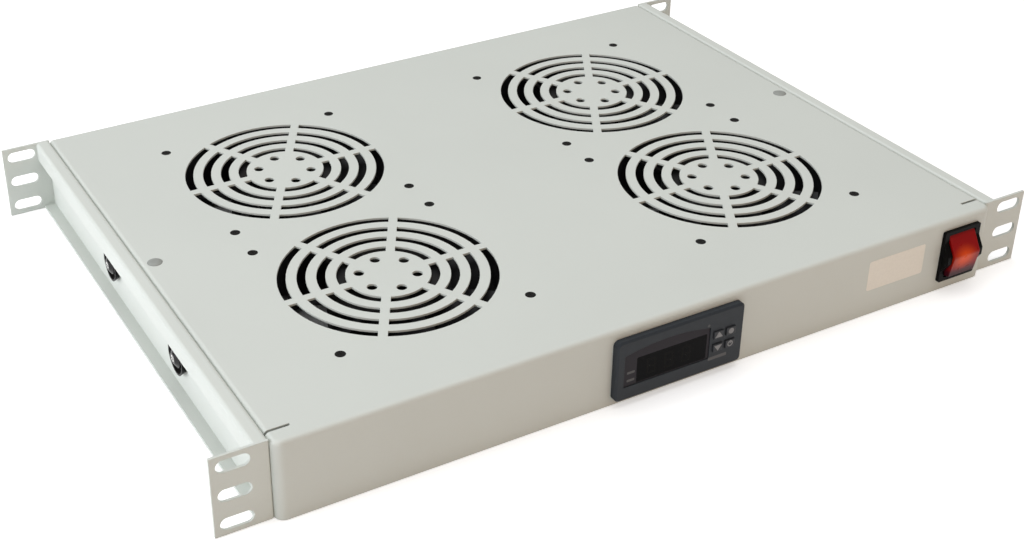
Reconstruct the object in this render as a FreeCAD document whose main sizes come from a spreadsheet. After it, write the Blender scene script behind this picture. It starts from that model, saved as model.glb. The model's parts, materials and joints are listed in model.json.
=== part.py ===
import FreeCAD, Part
import math
import os
import re

import Sketcher

# Rack fan tray, one rack unit high, with four axial fans that blow through punched grilles.
# X runs along the front to the right, Y from the front to the back, Z up, all in millimetres.
# The origin is the centre of the front ears' slots, on the ears' rear faces, where the rack posts are.

sizes = {
    # folded tray
    "panel_width": (482.6, "over both ears"),
    "panel_height": (43.6, "one rack unit less its gap"),
    "ear_reach": (28.5, "tray's side to the ears' ends"),
    "tray_depth": (332, "front face to rear face"),
    "tray_sheet": (1.2, "steel of the tray"),
    "tray_bend": (2.4, "outer radius of the top bends"),
    "corner_bend": (5, "outer radius of the upright front corners"),
    "rim_reach": (12, "width of the inturned rim at the bottom"),
    "rim_gap": (9, "rim's distance from the corners"),
    "slit_length": (12.5, "bend relief beside the front, in from the side"),
    "slit_width": (1.5, "bend relief along the depth"),
    "slit_back": (9.4, "front face to the bend relief"),
    # rails and ears
    "ear_setback": (4, "tray's front face to the ears' front faces"),
    "ear_sheet": (1.5, "steel of rails and ears"),
    "rail_reach": (8, "rail's flanges, out from the tray's side"),
    "rail_lip": (11, "down-turned lip of the top flange"),
    "rail_bend": (1.9, "outer radius of the rail's bends"),
    "ear_bend": (1.3, "outer radius where an ear leaves the rail"),
    "slot_inset": (11, "ear's end to the slots' middle"),
    "slot_pitch": (15.875, "slot to slot, up the ear"),
    "slot_length": (16.4, "end to end"),
    "slot_width": (6.8, "across"),
    "rail_screw_front": (113, "front face to the first rail screw"),
    "rail_screw_pitch": (100, "along the rail"),
    "rail_screw_radius": (3, "thread"),
    "rail_screw_room": (0.2, "radial room of the screw in its holes"),
    "rail_head_radius": (5.6, "pan head"),
    "rail_head_height": (3.3, "pan head"),
    "cup_radius": (9.5, "cup washer"),
    "cup_height": (3, "cup washer"),
    "cup_wall": (1, "cup washer"),
    "rail_nut_flats": (10, "across flats"),
    "rail_nut_height": (5, "nut"),
    # fans and grilles
    "fan_inset": (107.8, "tray's side to the fans' axes"),
    "fan_row_rear": (103.3, "rear face to the rear fans' axes"),
    "fan_row_pitch": (128.7, "front fans to rear fans"),
    "fan_hole_pitch": (105, "fan fixing holes"),
    "fan_hole_radius": (2.15, "fan fixing holes"),
    "fan_size": (119.5, "square frame"),
    "fan_depth": (38, "along the axis"),
    "fan_flange": (4.5, "thickness of each square flange"),
    "fan_corner": (6, "corner radius of the flanges"),
    "barrel_radius": (59.2, "outside of the round barrel"),
    "bore_radius": (57, "air way"),
    "seat_radius": (31, "motor seat"),
    "seat_thickness": (3, "motor seat"),
    "strut_width": (5, "motor seat's struts"),
    "strut_height": (6, "motor seat's struts"),
    "strut_count": (4, "motor seat's struts"),
    "post_radius": (6.5, "bearing post, outside"),
    "post_height": (20, "bearing post, above the seat"),
    "bush_radius": (4.5, "sleeve bearing, outside"),
    "shaft_radius": (2.5, "rotor shaft"),
    "shaft_room": (0.05, "radial running room of the shaft"),
    "shaft_length": (27, "rotor shaft"),
    "stator_radius": (25, "wound stator"),
    "stator_height": (16, "wound stator"),
    "stator_room": (0.05, "round the bearing post"),
    "hub_radius": (32, "rotor hub, outside"),
    "hub_wall": (2.2, "rotor hub"),
    "hub_height": (27, "rotor hub"),
    "hub_drop": (2.5, "hub's face below the frame's top"),
    "hub_bevel": (1.6, "hub's rim"),
    "hub_fit": (0.01, "radial room of the shaft in the hub"),
    "blade_count": (7, "blades on a rotor"),
    "blade_thickness": (1.8, "blade"),
    "blade_curve": (42, "radius of the blade's arch"),
    "blade_steep": (66, "blade angle at its low edge by the hub"),
    "blade_flat": (16, "blade angle at its high edge by the tip"),
    "blade_lead": (7, "slant of the blade's high edge"),
    "blade_trail": (6, "slant of the blade's low edge"),
    "tip_gap": (1.6, "blade tip to bore"),
    "grille_slot": (4.6, "width of the arc slots"),
    "grille_first": (24.3, "centre radius of the inner ring of slots"),
    "grille_step": (10.07, "ring to ring"),
    "grille_rings": (4, "rings of arc slots"),
    "spoke_width": (4.8, "sheet left between the arc slots"),
    "spoke_count": (6, "spokes of a grille"),
    "eye_radius": (2.75, "round holes round the grille's centre"),
    "eye_ring": (15, "their distance from the centre"),
    "fan_screw_radius": (1.5, "thread"),
    "fan_screw_head": (2.75, "countersunk head"),
    "fan_screw_length": (9, "over all"),
    # stiffener between the fan rows
    "brace_sheet": (1.5, "steel of the brace"),
    "brace_height": (18, "brace's web"),
    "brace_tab": (26, "length of the end tabs"),
    "brace_tab_width": (16, "width of the end tabs"),
    "brace_bevel": (3, "web's upper corners, clear of the tray's bends"),
    "rivet_back": (0.4, "brace's web to the rivets' closed ends"),
    "rivet_room": (0.1, "round the rivets' shanks"),
    "rivet_inset": (7.4, "tray's side to the rivets"),
    "rivet_radius": (2, "rivet's shank"),
    "rivet_head": (4, "rivet's dome"),
    "rivet_rise": (0.7, "rivet's dome"),
    "rivet_tail": (3, "rivet's closed end"),
    # thermostat
    "thermostat_x": (3.6, "right of the middle"),
    "thermostat_z": (-1, "above the middle"),
    "bezel_lap": (3.2, "front frame, beyond the case on every side"),
    "bezel_depth": (4, "front frame, in front of the tray"),
    "bezel_corner": (3, "corner radius of the front frame"),
    "bezel_edge": (1, "bevel of the front edges"),
    "case_width": (70.6, "case behind the front frame"),
    "case_height": (28.6, "case behind the front frame"),
    "case_depth": (62, "case behind the front frame"),
    "case_wall": (1.5, "case"),
    "cutout_room": (0.2, "panel cut-outs, round what passes through"),
    "window_left": (1.3, "case's left side to the window"),
    "window_right": (17.8, "case's right side to the window"),
    "window_low": (4.8, "case's underside to the window"),
    "window_high": (5.3, "case's top to the window's top corners"),
    "window_room": (0.05, "round the window in its seat"),
    "window_arch": (3, "rise of the window's arched top"),
    "window_recess": (1.6, "depth of the window's seat"),
    "window_inset": (0.5, "window below the front frame's face"),
    "key_width": (5.6, "key cap"),
    "key_height": (4.4, "key cap"),
    "key_inset": (5.4, "case's right side to the last key column"),
    "key_step": (7.6, "between key columns"),
    "key_rise": (3.8, "key rows above and below the middle"),
    "key_proud": (0.9, "key in front of the frame"),
    "key_room": (0.15, "round a key in its hole"),
    "key_collar": (0.6, "collar that keeps a key in"),
    "key_slack": (0.05, "collar behind the frame"),
    "key_stem": (0.1, "key in front of its collar, inside the frame's rear face"),
    "clip_length": (24, "side clips"),
    "clip_width": (2.6, "side clips, out from the case"),
    "clip_height": (12, "side clips"),
    "board_sheet": (1.6, "circuit boards"),
    "board_back": (2, "key collars to the control board"),
    "board_end": (2, "power board to the case's end"),
    "board_low": (3, "case's floor to the power board"),
    "relay_length": (19, "relay"),
    "relay_width": (15.5, "relay"),
    "relay_height": (15, "relay"),
    "relay_left": (8, "case's inner wall to the relay"),
    "relay_back": (20, "control board to the relay"),
    "terminal_length": (50, "screw terminals"),
    "terminal_depth": (8, "screw terminals"),
    "terminal_height": (10, "screw terminals"),
    "clip_toe": (2, "clip's flat end against the panel"),
    # rocker switch
    "switch_inset": (21.5, "tray's side to the switch's middle"),
    "switch_z": (0, "above the middle"),
    "switch_width": (25.5, "frame"),
    "switch_height": (31, "frame"),
    "switch_frame": (2, "frame's thickness"),
    "switch_body_width": (22, "behind the tray's front"),
    "switch_body_height": (28, "behind the tray's front"),
    "switch_depth": (24, "behind the tray's front"),
    "well_width": (19, "well for the rocker"),
    "well_height": (26.4, "well for the rocker"),
    "well_depth": (12, "from the tray's front face"),
    "cheek_rise": (4.2, "raised cheeks beside the rocker"),
    "cheek_half": (9, "half the cheeks' height"),
    "rocker_width": (18.2, "rocker"),
    "rocker_half": (12.2, "half the rocker's height"),
    "rocker_ridge": (9.8, "pivot to ridge"),
    "rocker_edge": (5.2, "pivot to the ends of its face"),
    "rocker_tilt": (10, "either side of level"),
    "pivot_back": (2, "behind the tray's front face"),
    "pivot_radius": (1.4, "rocker's trunnions"),
    "pivot_reach": (1.2, "rocker's trunnions"),
    "pivot_room": (0.06, "round the trunnions"),
    "tab_width": (6.3, "blade terminals"),
    "tab_sheet": (0.8, "blade terminals"),
    "tab_length": (9, "blade terminals"),
    "tab_step_across": (10, "switch terminals, side to side"),
    "tab_step_up": (14, "switch terminals, up"),
    "cheek_inset": (0.4, "frame's side to the cheeks"),
    "rocker_round": (2.5, "rocker's ridge"),
    # mains inlet in the rear wall
    "inlet_inset": (62.8, "tray's side to the inlet's middle"),
    "inlet_flange_width": (50, "flange"),
    "inlet_flange_height": (22.6, "flange"),
    "inlet_flange": (3, "flange's thickness"),
    "inlet_width": (27.2, "body"),
    "inlet_height": (19.8, "body"),
    "inlet_depth": (20, "body inside the rear wall"),
    "inlet_bevel": (4.5, "upper corners of the body"),
    "socket_width": (24, "socket"),
    "socket_height": (16.4, "socket"),
    "socket_depth": (16, "socket"),
    "inlet_hole_pitch": (40, "fixing holes"),
    "inlet_screw_radius": (1.5, "thread"),
    "inlet_screw_head": (2.8, "countersunk head"),
    "inlet_screw_length": (10, "over all"),
    "inlet_screw_rise": (1.6, "pan head"),
    "pin_width": (2, "inlet pins"),
    "pin_height": (4, "inlet pins"),
    "pin_length": (14, "inlet pins"),
    "pin_step": (7, "middle pin to the outer pins"),
    "pin_drop": (2, "earth pin above and outer pins below the middle"),
}

# places that many pieces share
frontFace = "(-ear_setback - ear_sheet)"
rearFace = "(tray_depth - ear_setback - ear_sheet)"
topFace = "(panel_height / 2)"
underTop = "(panel_height / 2 - tray_sheet)"
trayBottom = "(-panel_height / 2)"
traySide = "(panel_width / 2 - ear_reach)"
insideFront = f"({frontFace} + tray_sheet)"
insideRear = f"({rearFace} - tray_sheet)"

rearFans = f"({rearFace} - fan_row_rear)"
frontFans = f"({rearFans} - fan_row_pitch)"
fanSide = f"({traySide} - fan_inset)"
fans = {
    "front_left": (f"-{fanSide}", frontFans),
    "front_right": (fanSide, frontFans),
    "rear_left": (f"-{fanSide}", rearFans),
    "rear_right": (fanSide, rearFans),
}
# the brace's web lies midway between the fan rows, and its rivets a little behind it
webFront = f"({rearFans} - (fan_row_pitch + brace_sheet) / 2)"
riveted = f"({webFront} + brace_sheet + rivet_back + rivet_tail)"
# the rail screws' threads end inside the tray, measured from the rail's web
railThread = "(-ear_sheet - tray_sheet - rail_nut_height - 1)"
slotMiddle = "(panel_width / 2 - slot_inset)"
switchMiddle = f"({traySide} - switch_inset)"
inletMiddle = f"({traySide} - inlet_inset)"
caseSide = "(case_width / 2)"

doc = FreeCAD.newDocument("RackFanTray")
sheet = doc.addObject("Spreadsheet::Sheet", "Sizes")
for row, (alias, (value, meaning)) in enumerate(sizes.items(), 1):
    sheet.set(f"A{row}", meaning)
    sheet.set(f"B{row}", str(value))
    sheet.setAlias(f"B{row}", alias)
doc.recompute()

subParts = []


# ---- small tools -------------------------------------------------------------------------------

def rule(text):
    # every size in a rule is read from the sheet
    return re.sub(r"\b[a-z]+(?:_[a-z]+)+\b", r"Sizes.\g<0>", text)


def bind(item, **rules):
    for name, text in rules.items():
        item.setExpression(name, rule(text))


def place(item, x="0", y="0", z="0"):
    for axis, text in zip("xyz", (x, y, z)):
        item.setExpression(f"Placement.Base.{axis}", rule(text))


def newBody(label, keep=True):
    body = doc.addObject("PartDesign::Body", label)
    body.Label = label
    if keep:
        subParts.append(body)
    return body


def newSketch(body, role, x="0", y="0", z="0", turn=0):
    # x and y lie in the plane, z is along its normal: up for XY, forward for XZ, right for YZ
    drawing = body.newObject("Sketcher::SketchObject", "Sketch")
    origin = [feature for feature in body.Origin.OriginFeatures if feature.Role == role]
    drawing.AttachmentSupport = [(origin[0], "")]
    drawing.MapMode = "FlatFace"
    drawing.AttachmentOffset = FreeCAD.Placement(
        FreeCAD.Vector(), FreeCAD.Rotation(FreeCAD.Vector(0, 0, 1), turn))
    for axis, text in zip("xyz", (x, y, z)):
        drawing.setExpression(f"AttachmentOffset.Base.{axis}", rule(text))
    return drawing


def fix(drawing, geometry, point, x, y):
    # ties one point of a sketch to rules for its place
    fixAcross(drawing, geometry, point, x)
    start = drawing.getPoint(geometry, point).y
    number = drawing.addConstraint(Sketcher.Constraint("DistanceY", -1, 1, geometry, point, start))
    drawing.setExpression(f"Constraints[{number}]", rule(y))


def fixAcross(drawing, geometry, point, x):
    start = drawing.getPoint(geometry, point).x
    number = drawing.addConstraint(Sketcher.Constraint("DistanceX", -1, 1, geometry, point, start))
    drawing.setExpression(f"Constraints[{number}]", rule(x))


def fixRadius(drawing, geometry, radius):
    start = drawing.Geometry[geometry].Radius
    number = drawing.addConstraint(Sketcher.Constraint("Radius", geometry, start))
    drawing.setExpression(f"Constraints[{number}]", rule(radius))


def join(drawing, chain):
    # closes a chain of lines and arcs, each piece's end on the next one's start
    for piece, following in zip(chain, chain[1:] + chain[:1]):
        drawing.addConstraint(Sketcher.Constraint("Coincident", piece, 2, following, 1))


def polygon(drawing, corners):
    first = drawing.GeometryCount
    count = len(corners)
    spots = [FreeCAD.Vector(math.cos(2 * math.pi * step / count), math.sin(2 * math.pi * step / count))
             for step in range(count)]
    for step in range(count):
        drawing.addGeometry(Part.LineSegment(spots[step], spots[(step + 1) % count]), False)
    join(drawing, list(range(first, first + count)))
    for step, (x, y) in enumerate(corners):
        fix(drawing, first + step, 1, x, y)


def rectangle(drawing, left, low, right, high):
    polygon(drawing, [(left, low), (right, low), (right, high), (left, high)])


def circle(drawing, x, y, radius):
    number = drawing.addGeometry(Part.Circle(FreeCAD.Vector(), FreeCAD.Vector(0, 0, 1), 1), False)
    fix(drawing, number, 3, x, y)
    fixRadius(drawing, number, radius)


def arc(drawing, centre, radius, start, end):
    ring = Part.Circle(FreeCAD.Vector(*centre), FreeCAD.Vector(0, 0, 1), radius)
    return drawing.addGeometry(Part.ArcOfCircle(ring, math.radians(start), math.radians(end)), False)


def line(drawing, start, end, construction=False):
    return drawing.addGeometry(
        Part.LineSegment(FreeCAD.Vector(*start), FreeCAD.Vector(*end)), construction)


def slot(drawing, x, y, length, width):
    # a slot with round ends, along x
    right = arc(drawing, (2, 0), 1, -90, 90)
    upper = line(drawing, (2, 1), (-2, 1))
    left = arc(drawing, (-2, 0), 1, 90, 270)
    lower = line(drawing, (-2, -1), (2, -1))
    chain = [right, upper, left, lower]
    for piece, following in zip(chain, chain[1:] + chain[:1]):
        drawing.addConstraint(Sketcher.Constraint("Tangent", piece, 2, following, 1))
    drawing.addConstraint(Sketcher.Constraint("Equal", right, left))
    fix(drawing, right, 3, f"{x} + ({length} - {width}) / 2", y)
    fix(drawing, left, 3, f"{x} - ({length} - {width}) / 2", y)
    fixRadius(drawing, right, f"{width} / 2")


def pad(body, drawing, length, towards=1):
    feature = body.newObject("PartDesign::Pad", "Pad")
    feature.Profile = drawing
    feature.Reversed = towards < 0
    bind(feature, Length=length)
    body.Tip = feature
    return feature


def cut(body, drawing, length, towards=-1, taper=0):
    # a pocket that must take material away
    before = solidVolume(body)
    feature = body.newObject("PartDesign::Pocket", "Pocket")
    feature.Profile = drawing
    feature.Reversed = towards > 0
    feature.TaperAngle = taper
    bind(feature, Length=length)
    body.Tip = feature
    if solidVolume(body) > before - 0.01:
        raise ValueError(f"{body.Label}: {feature.Name} cuts nothing")
    return feature


def solidVolume(body):
    doc.recompute()
    return body.Shape.Volume


def pattern(body, feature, axis, count):
    ring = body.newObject("PartDesign::PolarPattern", "PolarPattern")
    ring.Originals = [feature]
    ring.Axis = axis
    ring.Angle = 360
    bind(ring, Occurrences=count)
    body.Tip = ring
    return ring


def edges(body, test):
    doc.recompute()
    return [f"Edge{number}" for number, edge in enumerate(body.Shape.Edges, 1) if test(edge)]


def fillet(body, radius, test):
    names = edges(body, test)
    if not names:
        raise ValueError(f"{body.Label}: no edge to round")
    base = body.Tip
    feature = body.newObject("PartDesign::Fillet", "Fillet")
    feature.Base = (base, names)
    bind(feature, Radius=radius)
    body.Tip = feature
    doc.recompute()
    if "Invalid" in feature.State:
        raise ValueError(f"{body.Label}: {feature.Name} can't be rounded")
    return feature


def chamfer(body, size, test):
    names = edges(body, test)
    if not names:
        raise ValueError(f"{body.Label}: no edge to bevel")
    base = body.Tip
    feature = body.newObject("PartDesign::Chamfer", "Chamfer")
    feature.Base = (base, names)
    bind(feature, Size=size)
    body.Tip = feature
    doc.recompute()
    if "Invalid" in feature.State:
        raise ValueError(f"{body.Label}: {feature.Name} can't be bevelled")
    return feature


def extent(body):
    # the box round the body's corner points
    doc.recompute()
    box = FreeCAD.BoundBox()
    for vertex in body.Shape.Vertexes:
        box.add(vertex.Point)
    return box


def runsAlong(edge, axis):
    # true for a straight edge along one axis
    ends = [vertex.Point for vertex in edge.Vertexes]
    return len(ends) == 2 and abs(abs((ends[1] - ends[0])[axis]) - edge.Length) < 1e-6


def mirrored(label, source):
    twin = doc.addObject("Part::Mirroring", label)
    twin.Label = label
    twin.Source = source
    twin.Base = (0, 0, 0)
    twin.Normal = (1, 0, 0)
    subParts.append(twin)
    return twin


def box(label, x, y, z, length, width, height):
    item = doc.addObject("Part::Box", label)
    item.Label = label
    bind(item, Length=length, Width=width, Height=height)
    place(item, x, y, z)
    return item


def cylinder(label, x, y, z, radius, height, axis=(0, 0, 1)):
    item = doc.addObject("Part::Cylinder", label)
    item.Label = label
    bind(item, Radius=radius, Height=height)
    item.Placement.Rotation = FreeCAD.Rotation(FreeCAD.Vector(0, 0, 1), FreeCAD.Vector(*axis))
    place(item, x, y, z)
    return item


def group(label, items):
    # identical loose pieces in one node
    pieces = doc.addObject("Part::Compound", label)
    pieces.Label = label
    pieces.Links = items
    subParts.append(pieces)
    return pieces


def copyOf(master, label, x="0", y="0", z="0", keep=True):
    # the master's shape again, set down at another place
    twin = doc.addObject("Part::Compound", label)
    twin.Label = label
    twin.Links = [master]
    place(twin, x, y, z)
    if keep:
        subParts.append(twin)
    return twin


# ---- folded tray -------------------------------------------------------------------------------

def trayHousing():
    body = newBody("tray_blank", keep=False)
    blank = newSketch(body, "XY_Plane", z=trayBottom)
    rectangle(blank, f"-{traySide}", frontFace, traySide, rearFace)
    pad(body, blank, "panel_height")
    doc.recompute()
    hollow = newSketch(body, "XY_Plane", z=trayBottom)
    within = f"({traySide} - tray_sheet)"
    rectangle(hollow, f"-{within}", insideFront, within, insideRear)
    cut(body, hollow, "panel_height - tray_sheet", towards=1)
    roundBends(body, "corner_bend - tray_sheet", "tray_bend - tray_sheet", inset=sizes["tray_sheet"][0])
    roundBends(body, "corner_bend", "tray_bend")
    bottomRim(body)
    bendReliefs(body)
    frontCutouts(body)
    sideAndTopHoles(body)
    inletCutout(body)
    punch = grillePunch()
    punches = doc.addObject("Part::Compound", "grille_punches")
    punches.Links = [copyOf(punch, f"punch_{name}", x, y, topFace, keep=False)
                     for name, (x, y) in fans.items()]
    punched = doc.addObject("Part::Cut", "tray_housing")
    punched.Label = "tray_housing"
    punched.Base = body
    punched.Tool = punches
    subParts.append(punched)


def roundBends(body, corner, bend, inset=0):
    # the four uprights, then the edge of the top, on the outside or at an inset from it
    room = extent(body)
    for radius, y in ((corner, room.YMin + inset), (bend, room.YMax - inset)):
        fillet(body, radius, lambda edge: runsAlong(edge, 2) and abs(edge.CenterOfMass.y - y) < 0.01
               and abs(edge.CenterOfMass.x) > room.XMax - inset - 0.01)
    top = room.ZMax - inset
    fillet(body, bend, lambda edge: edge.BoundBox.ZMin > top - 0.01 and edge.BoundBox.ZMax < top + 0.01)


def bottomRim(body):
    # inturned rims in four strips, open at the corners as the blank is
    strips = newSketch(body, "XY_Plane", z=trayBottom)
    long = f"({traySide} - rim_gap)"
    rectangle(strips, f"-{long}", f"{frontFace} + tray_sheet / 2", long, f"{frontFace} + rim_reach")
    rectangle(strips, f"-{long}", f"{rearFace} - rim_reach", long, f"{rearFace} - tray_sheet / 2")
    near = f"{frontFace} + rim_reach + rim_gap / 2"
    far = f"{rearFace} - rim_reach - rim_gap / 2"
    edge = f"({traySide} - tray_sheet / 2)"
    rectangle(strips, f"-{edge}", near, f"-{traySide} + rim_reach", far)
    rectangle(strips, f"{traySide} - rim_reach", near, edge, far)
    pad(body, strips, "tray_sheet")


def bendReliefs(body):
    # short slits in the top, carried down the sides, between the front's wings and the side walls
    slits = newSketch(body, "XY_Plane", z=f"{topFace} + 1")
    near = f"{frontFace} + slit_back"
    far = f"{frontFace} + slit_back + slit_width"
    rectangle(slits, f"-{traySide} - 1", near, f"-{traySide} + slit_length", far)
    rectangle(slits, f"{traySide} - slit_length", near, f"{traySide} + 1", far)
    cut(body, slits, "panel_height + 2")


def grillePunch():
    # one sixth of a grille, an arc slot in each ring and a round eye between two parallel-sided
    # spokes, then repeated round the fan's axis
    punch = newBody("grille_punch", keep=False)
    sixth = newSketch(punch, "XY_Plane", z="1")
    step = math.pi / sizes["spoke_count"][0]
    reach = sizes["grille_first"][0] * 3
    borders = []
    for side in (1, -1):
        border = line(sixth, (0, 0), (reach * math.cos(step), side * reach * math.sin(step)), construction=True)
        sixth.addConstraint(Sketcher.Constraint("Coincident", border, 1, -1, 1))
        fix(sixth, border, 2, f"{reach} * cos(180 / spoke_count)", f"{side * reach} * sin(180 / spoke_count)")
        borders.append(border)
    for ring in range(sizes["grille_rings"][0]):
        arcSlot(sixth, ring, borders)
    circle(sixth, "eye_ring", "0", "eye_radius")
    sector = pad(punch, sixth, "tray_sheet + 2", towards=-1)
    pattern(punch, sector, (sixth, ["N_Axis"]), "spoke_count")
    punch.Placement.Rotation = FreeCAD.Rotation(FreeCAD.Vector(0, 0, 1), 30)
    return punch


def arcSlot(drawing, ring, borders):
    middle = sizes["grille_first"][0] + ring * sizes["grille_step"][0]
    inner, outer = (middle + side * sizes["grille_slot"][0] / 2 for side in (-1, 1))
    half = sizes["spoke_width"][0] / 2
    innerAngle, outerAngle = (180 / sizes["spoke_count"][0] - math.degrees(math.asin(half / radius))
                              for radius in (inner, outer))

    def spot(radius, angle):
        turn = math.radians(angle)
        return (radius * math.cos(turn), radius * math.sin(turn))

    inside = arc(drawing, (0, 0), inner, -innerAngle, innerAngle)
    outside = arc(drawing, (0, 0), outer, -outerAngle, outerAngle)
    high = line(drawing, spot(inner, innerAngle), spot(outer, outerAngle))
    low = line(drawing, spot(outer, -outerAngle), spot(inner, -innerAngle))
    for first, firstPoint, second, secondPoint in (
            (inside, 2, high, 1), (high, 2, outside, 2), (outside, 1, low, 1), (low, 2, inside, 1)):
        drawing.addConstraint(Sketcher.Constraint("Coincident", first, firstPoint, second, secondPoint))
    for curve, side in ((inside, "-"), (outside, "+")):
        drawing.addConstraint(Sketcher.Constraint("Coincident", curve, 3, -1, 1))
        fixRadius(drawing, curve, f"grille_first + {ring} * grille_step {side} grille_slot / 2")
    for border, piece in zip(borders, (high, low)):
        for point in (1, 2):
            number = drawing.addConstraint(Sketcher.Constraint("Distance", piece, point, border, half))
            drawing.setExpression(f"Constraints[{number}]", rule("spoke_width / 2"))


def frontCutouts(body):
    openings = newSketch(body, "XZ_Plane", z=f"-{frontFace} + 1")
    centredRectangle(openings, "thermostat_x", "thermostat_z",
                     "case_width + 2 * cutout_room", "case_height + 2 * cutout_room")
    centredRectangle(openings, switchMiddle, "switch_z",
                     "switch_body_width + 2 * cutout_room", "switch_body_height + 2 * cutout_room")
    cut(body, openings, "tray_sheet + 2")


def centredRectangle(drawing, x, y, width, height):
    rectangle(drawing, f"{x} - ({width}) / 2", f"{y} - ({height}) / 2",
              f"{x} + ({width}) / 2", f"{y} + ({height}) / 2")


def fanHoles(fan):
    x, y = fan
    return [(f"{x} {across} fan_hole_pitch / 2", f"{y} {along} fan_hole_pitch / 2")
            for across in "-+" for along in "-+"]


def sideAndTopHoles(body):
    # countersinks for the fan screws take up the whole sheet
    sinks = newSketch(body, "XY_Plane", z=topFace)
    for fan in fans.values():
        for x, y in fanHoles(fan):
            circle(sinks, x, y, "fan_screw_head")
    cut(body, sinks, "tray_sheet", taper=-45)
    rivets = newSketch(body, "XY_Plane", z=topFace)
    rivetHoles(rivets)
    cut(body, rivets, "tray_sheet + 1")
    sides = newSketch(body, "YZ_Plane", z=f"{traySide} + 1")
    railHoles(sides)
    cut(body, sides, "panel_width")


def railHoles(drawing):
    for step in range(2):
        circle(drawing, f"{frontFace} + rail_screw_front + {step} * rail_screw_pitch", "0",
               "rail_screw_radius + rail_screw_room")


def inletCutout(body):
    opening = newSketch(body, "XZ_Plane", z=f"-{rearFace} - 1")
    inletOutline(opening, "(inlet_width + 2 * cutout_room)", "(inlet_height + 2 * cutout_room)", "inlet_bevel")
    for side in "-+":
        circle(opening, f"{inletMiddle} {side} inlet_hole_pitch / 2", "0", "inlet_screw_radius + cutout_room")
    cut(body, opening, "tray_sheet + 2", towards=1)


def inletOutline(drawing, width, height, bevel):
    # the inlet's six-sided section, its two upper corners cut off
    right, high = f"{width} / 2", f"{height} / 2"
    polygon(drawing, [
        (f"{inletMiddle} - {right}", f"-{high}"), (f"{inletMiddle} + {right}", f"-{high}"),
        (f"{inletMiddle} + {right}", f"{high} - {bevel}"), (f"{inletMiddle} + {right} - {bevel}", high),
        (f"{inletMiddle} - {right} + {bevel}", high), (f"{inletMiddle} - {right}", f"{high} - {bevel}")])


# ---- rails with ears ---------------------------------------------------------------------------

def rails():
    body = newBody("left_rail")
    inner, outer = f"-{traySide}", f"(-{traySide} - rail_reach)"
    channel = newSketch(body, "XZ_Plane")
    polygon(channel, [
        (inner, trayBottom), (inner, topFace), (outer, topFace), (outer, f"{topFace} - rail_lip"),
        (f"{outer} + ear_sheet", f"{topFace} - rail_lip"), (f"{outer} + ear_sheet", f"{topFace} - ear_sheet"),
        (f"{inner} - ear_sheet", f"{topFace} - ear_sheet"), (f"{inner} - ear_sheet", f"{trayBottom} + ear_sheet"),
        (outer, f"{trayBottom} + ear_sheet"), (outer, trayBottom)])
    pad(body, channel, rearFace, towards=-1)
    room = extent(body)
    fillet(body, "rail_bend", lambda edge: runsAlong(edge, 1) and atBend(edge, room))
    for y in ("-ear_sheet", f"{rearFace} - ear_sheet"):
        ear = newSketch(body, "XZ_Plane", z=f"-({y})")
        rectangle(ear, "-panel_width / 2", trayBottom, inner, topFace)
        pad(body, ear, "ear_sheet", towards=-1)
    room = extent(body)
    fillet(body, "ear_bend", lambda edge: runsAlong(edge, 2) and edge.Length > room.ZLength * 0.8
           and abs(edge.CenterOfMass.x - room.XMax) < 0.01
           and min(edge.CenterOfMass.y - room.YMin, room.YMax - edge.CenterOfMass.y) < 0.01)
    slots = newSketch(body, "XZ_Plane", z="ear_sheet + 1")
    for step in (-1, 0, 1):
        slot(slots, f"-{slotMiddle}", f"{step} * slot_pitch", "slot_length", "slot_width")
    cut(body, slots, "tray_depth")
    holes = newSketch(body, "YZ_Plane", z=f"-{traySide} - ear_sheet - 1")
    railHoles(holes)
    cut(body, holes, "ear_sheet + 2", towards=1)
    mirrored("right_rail", body)


def atBend(edge, room):
    # the channel's outer edges, but not those of the bottom flange's and the lip's free ends
    spot = edge.CenterOfMass
    inner = abs(spot.x - room.XMax) < 0.01 and min(spot.z - room.ZMin, room.ZMax - spot.z) < 0.01
    return inner or (abs(spot.x - room.XMin) < 0.01 and room.ZMax - spot.z < 0.01)


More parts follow.
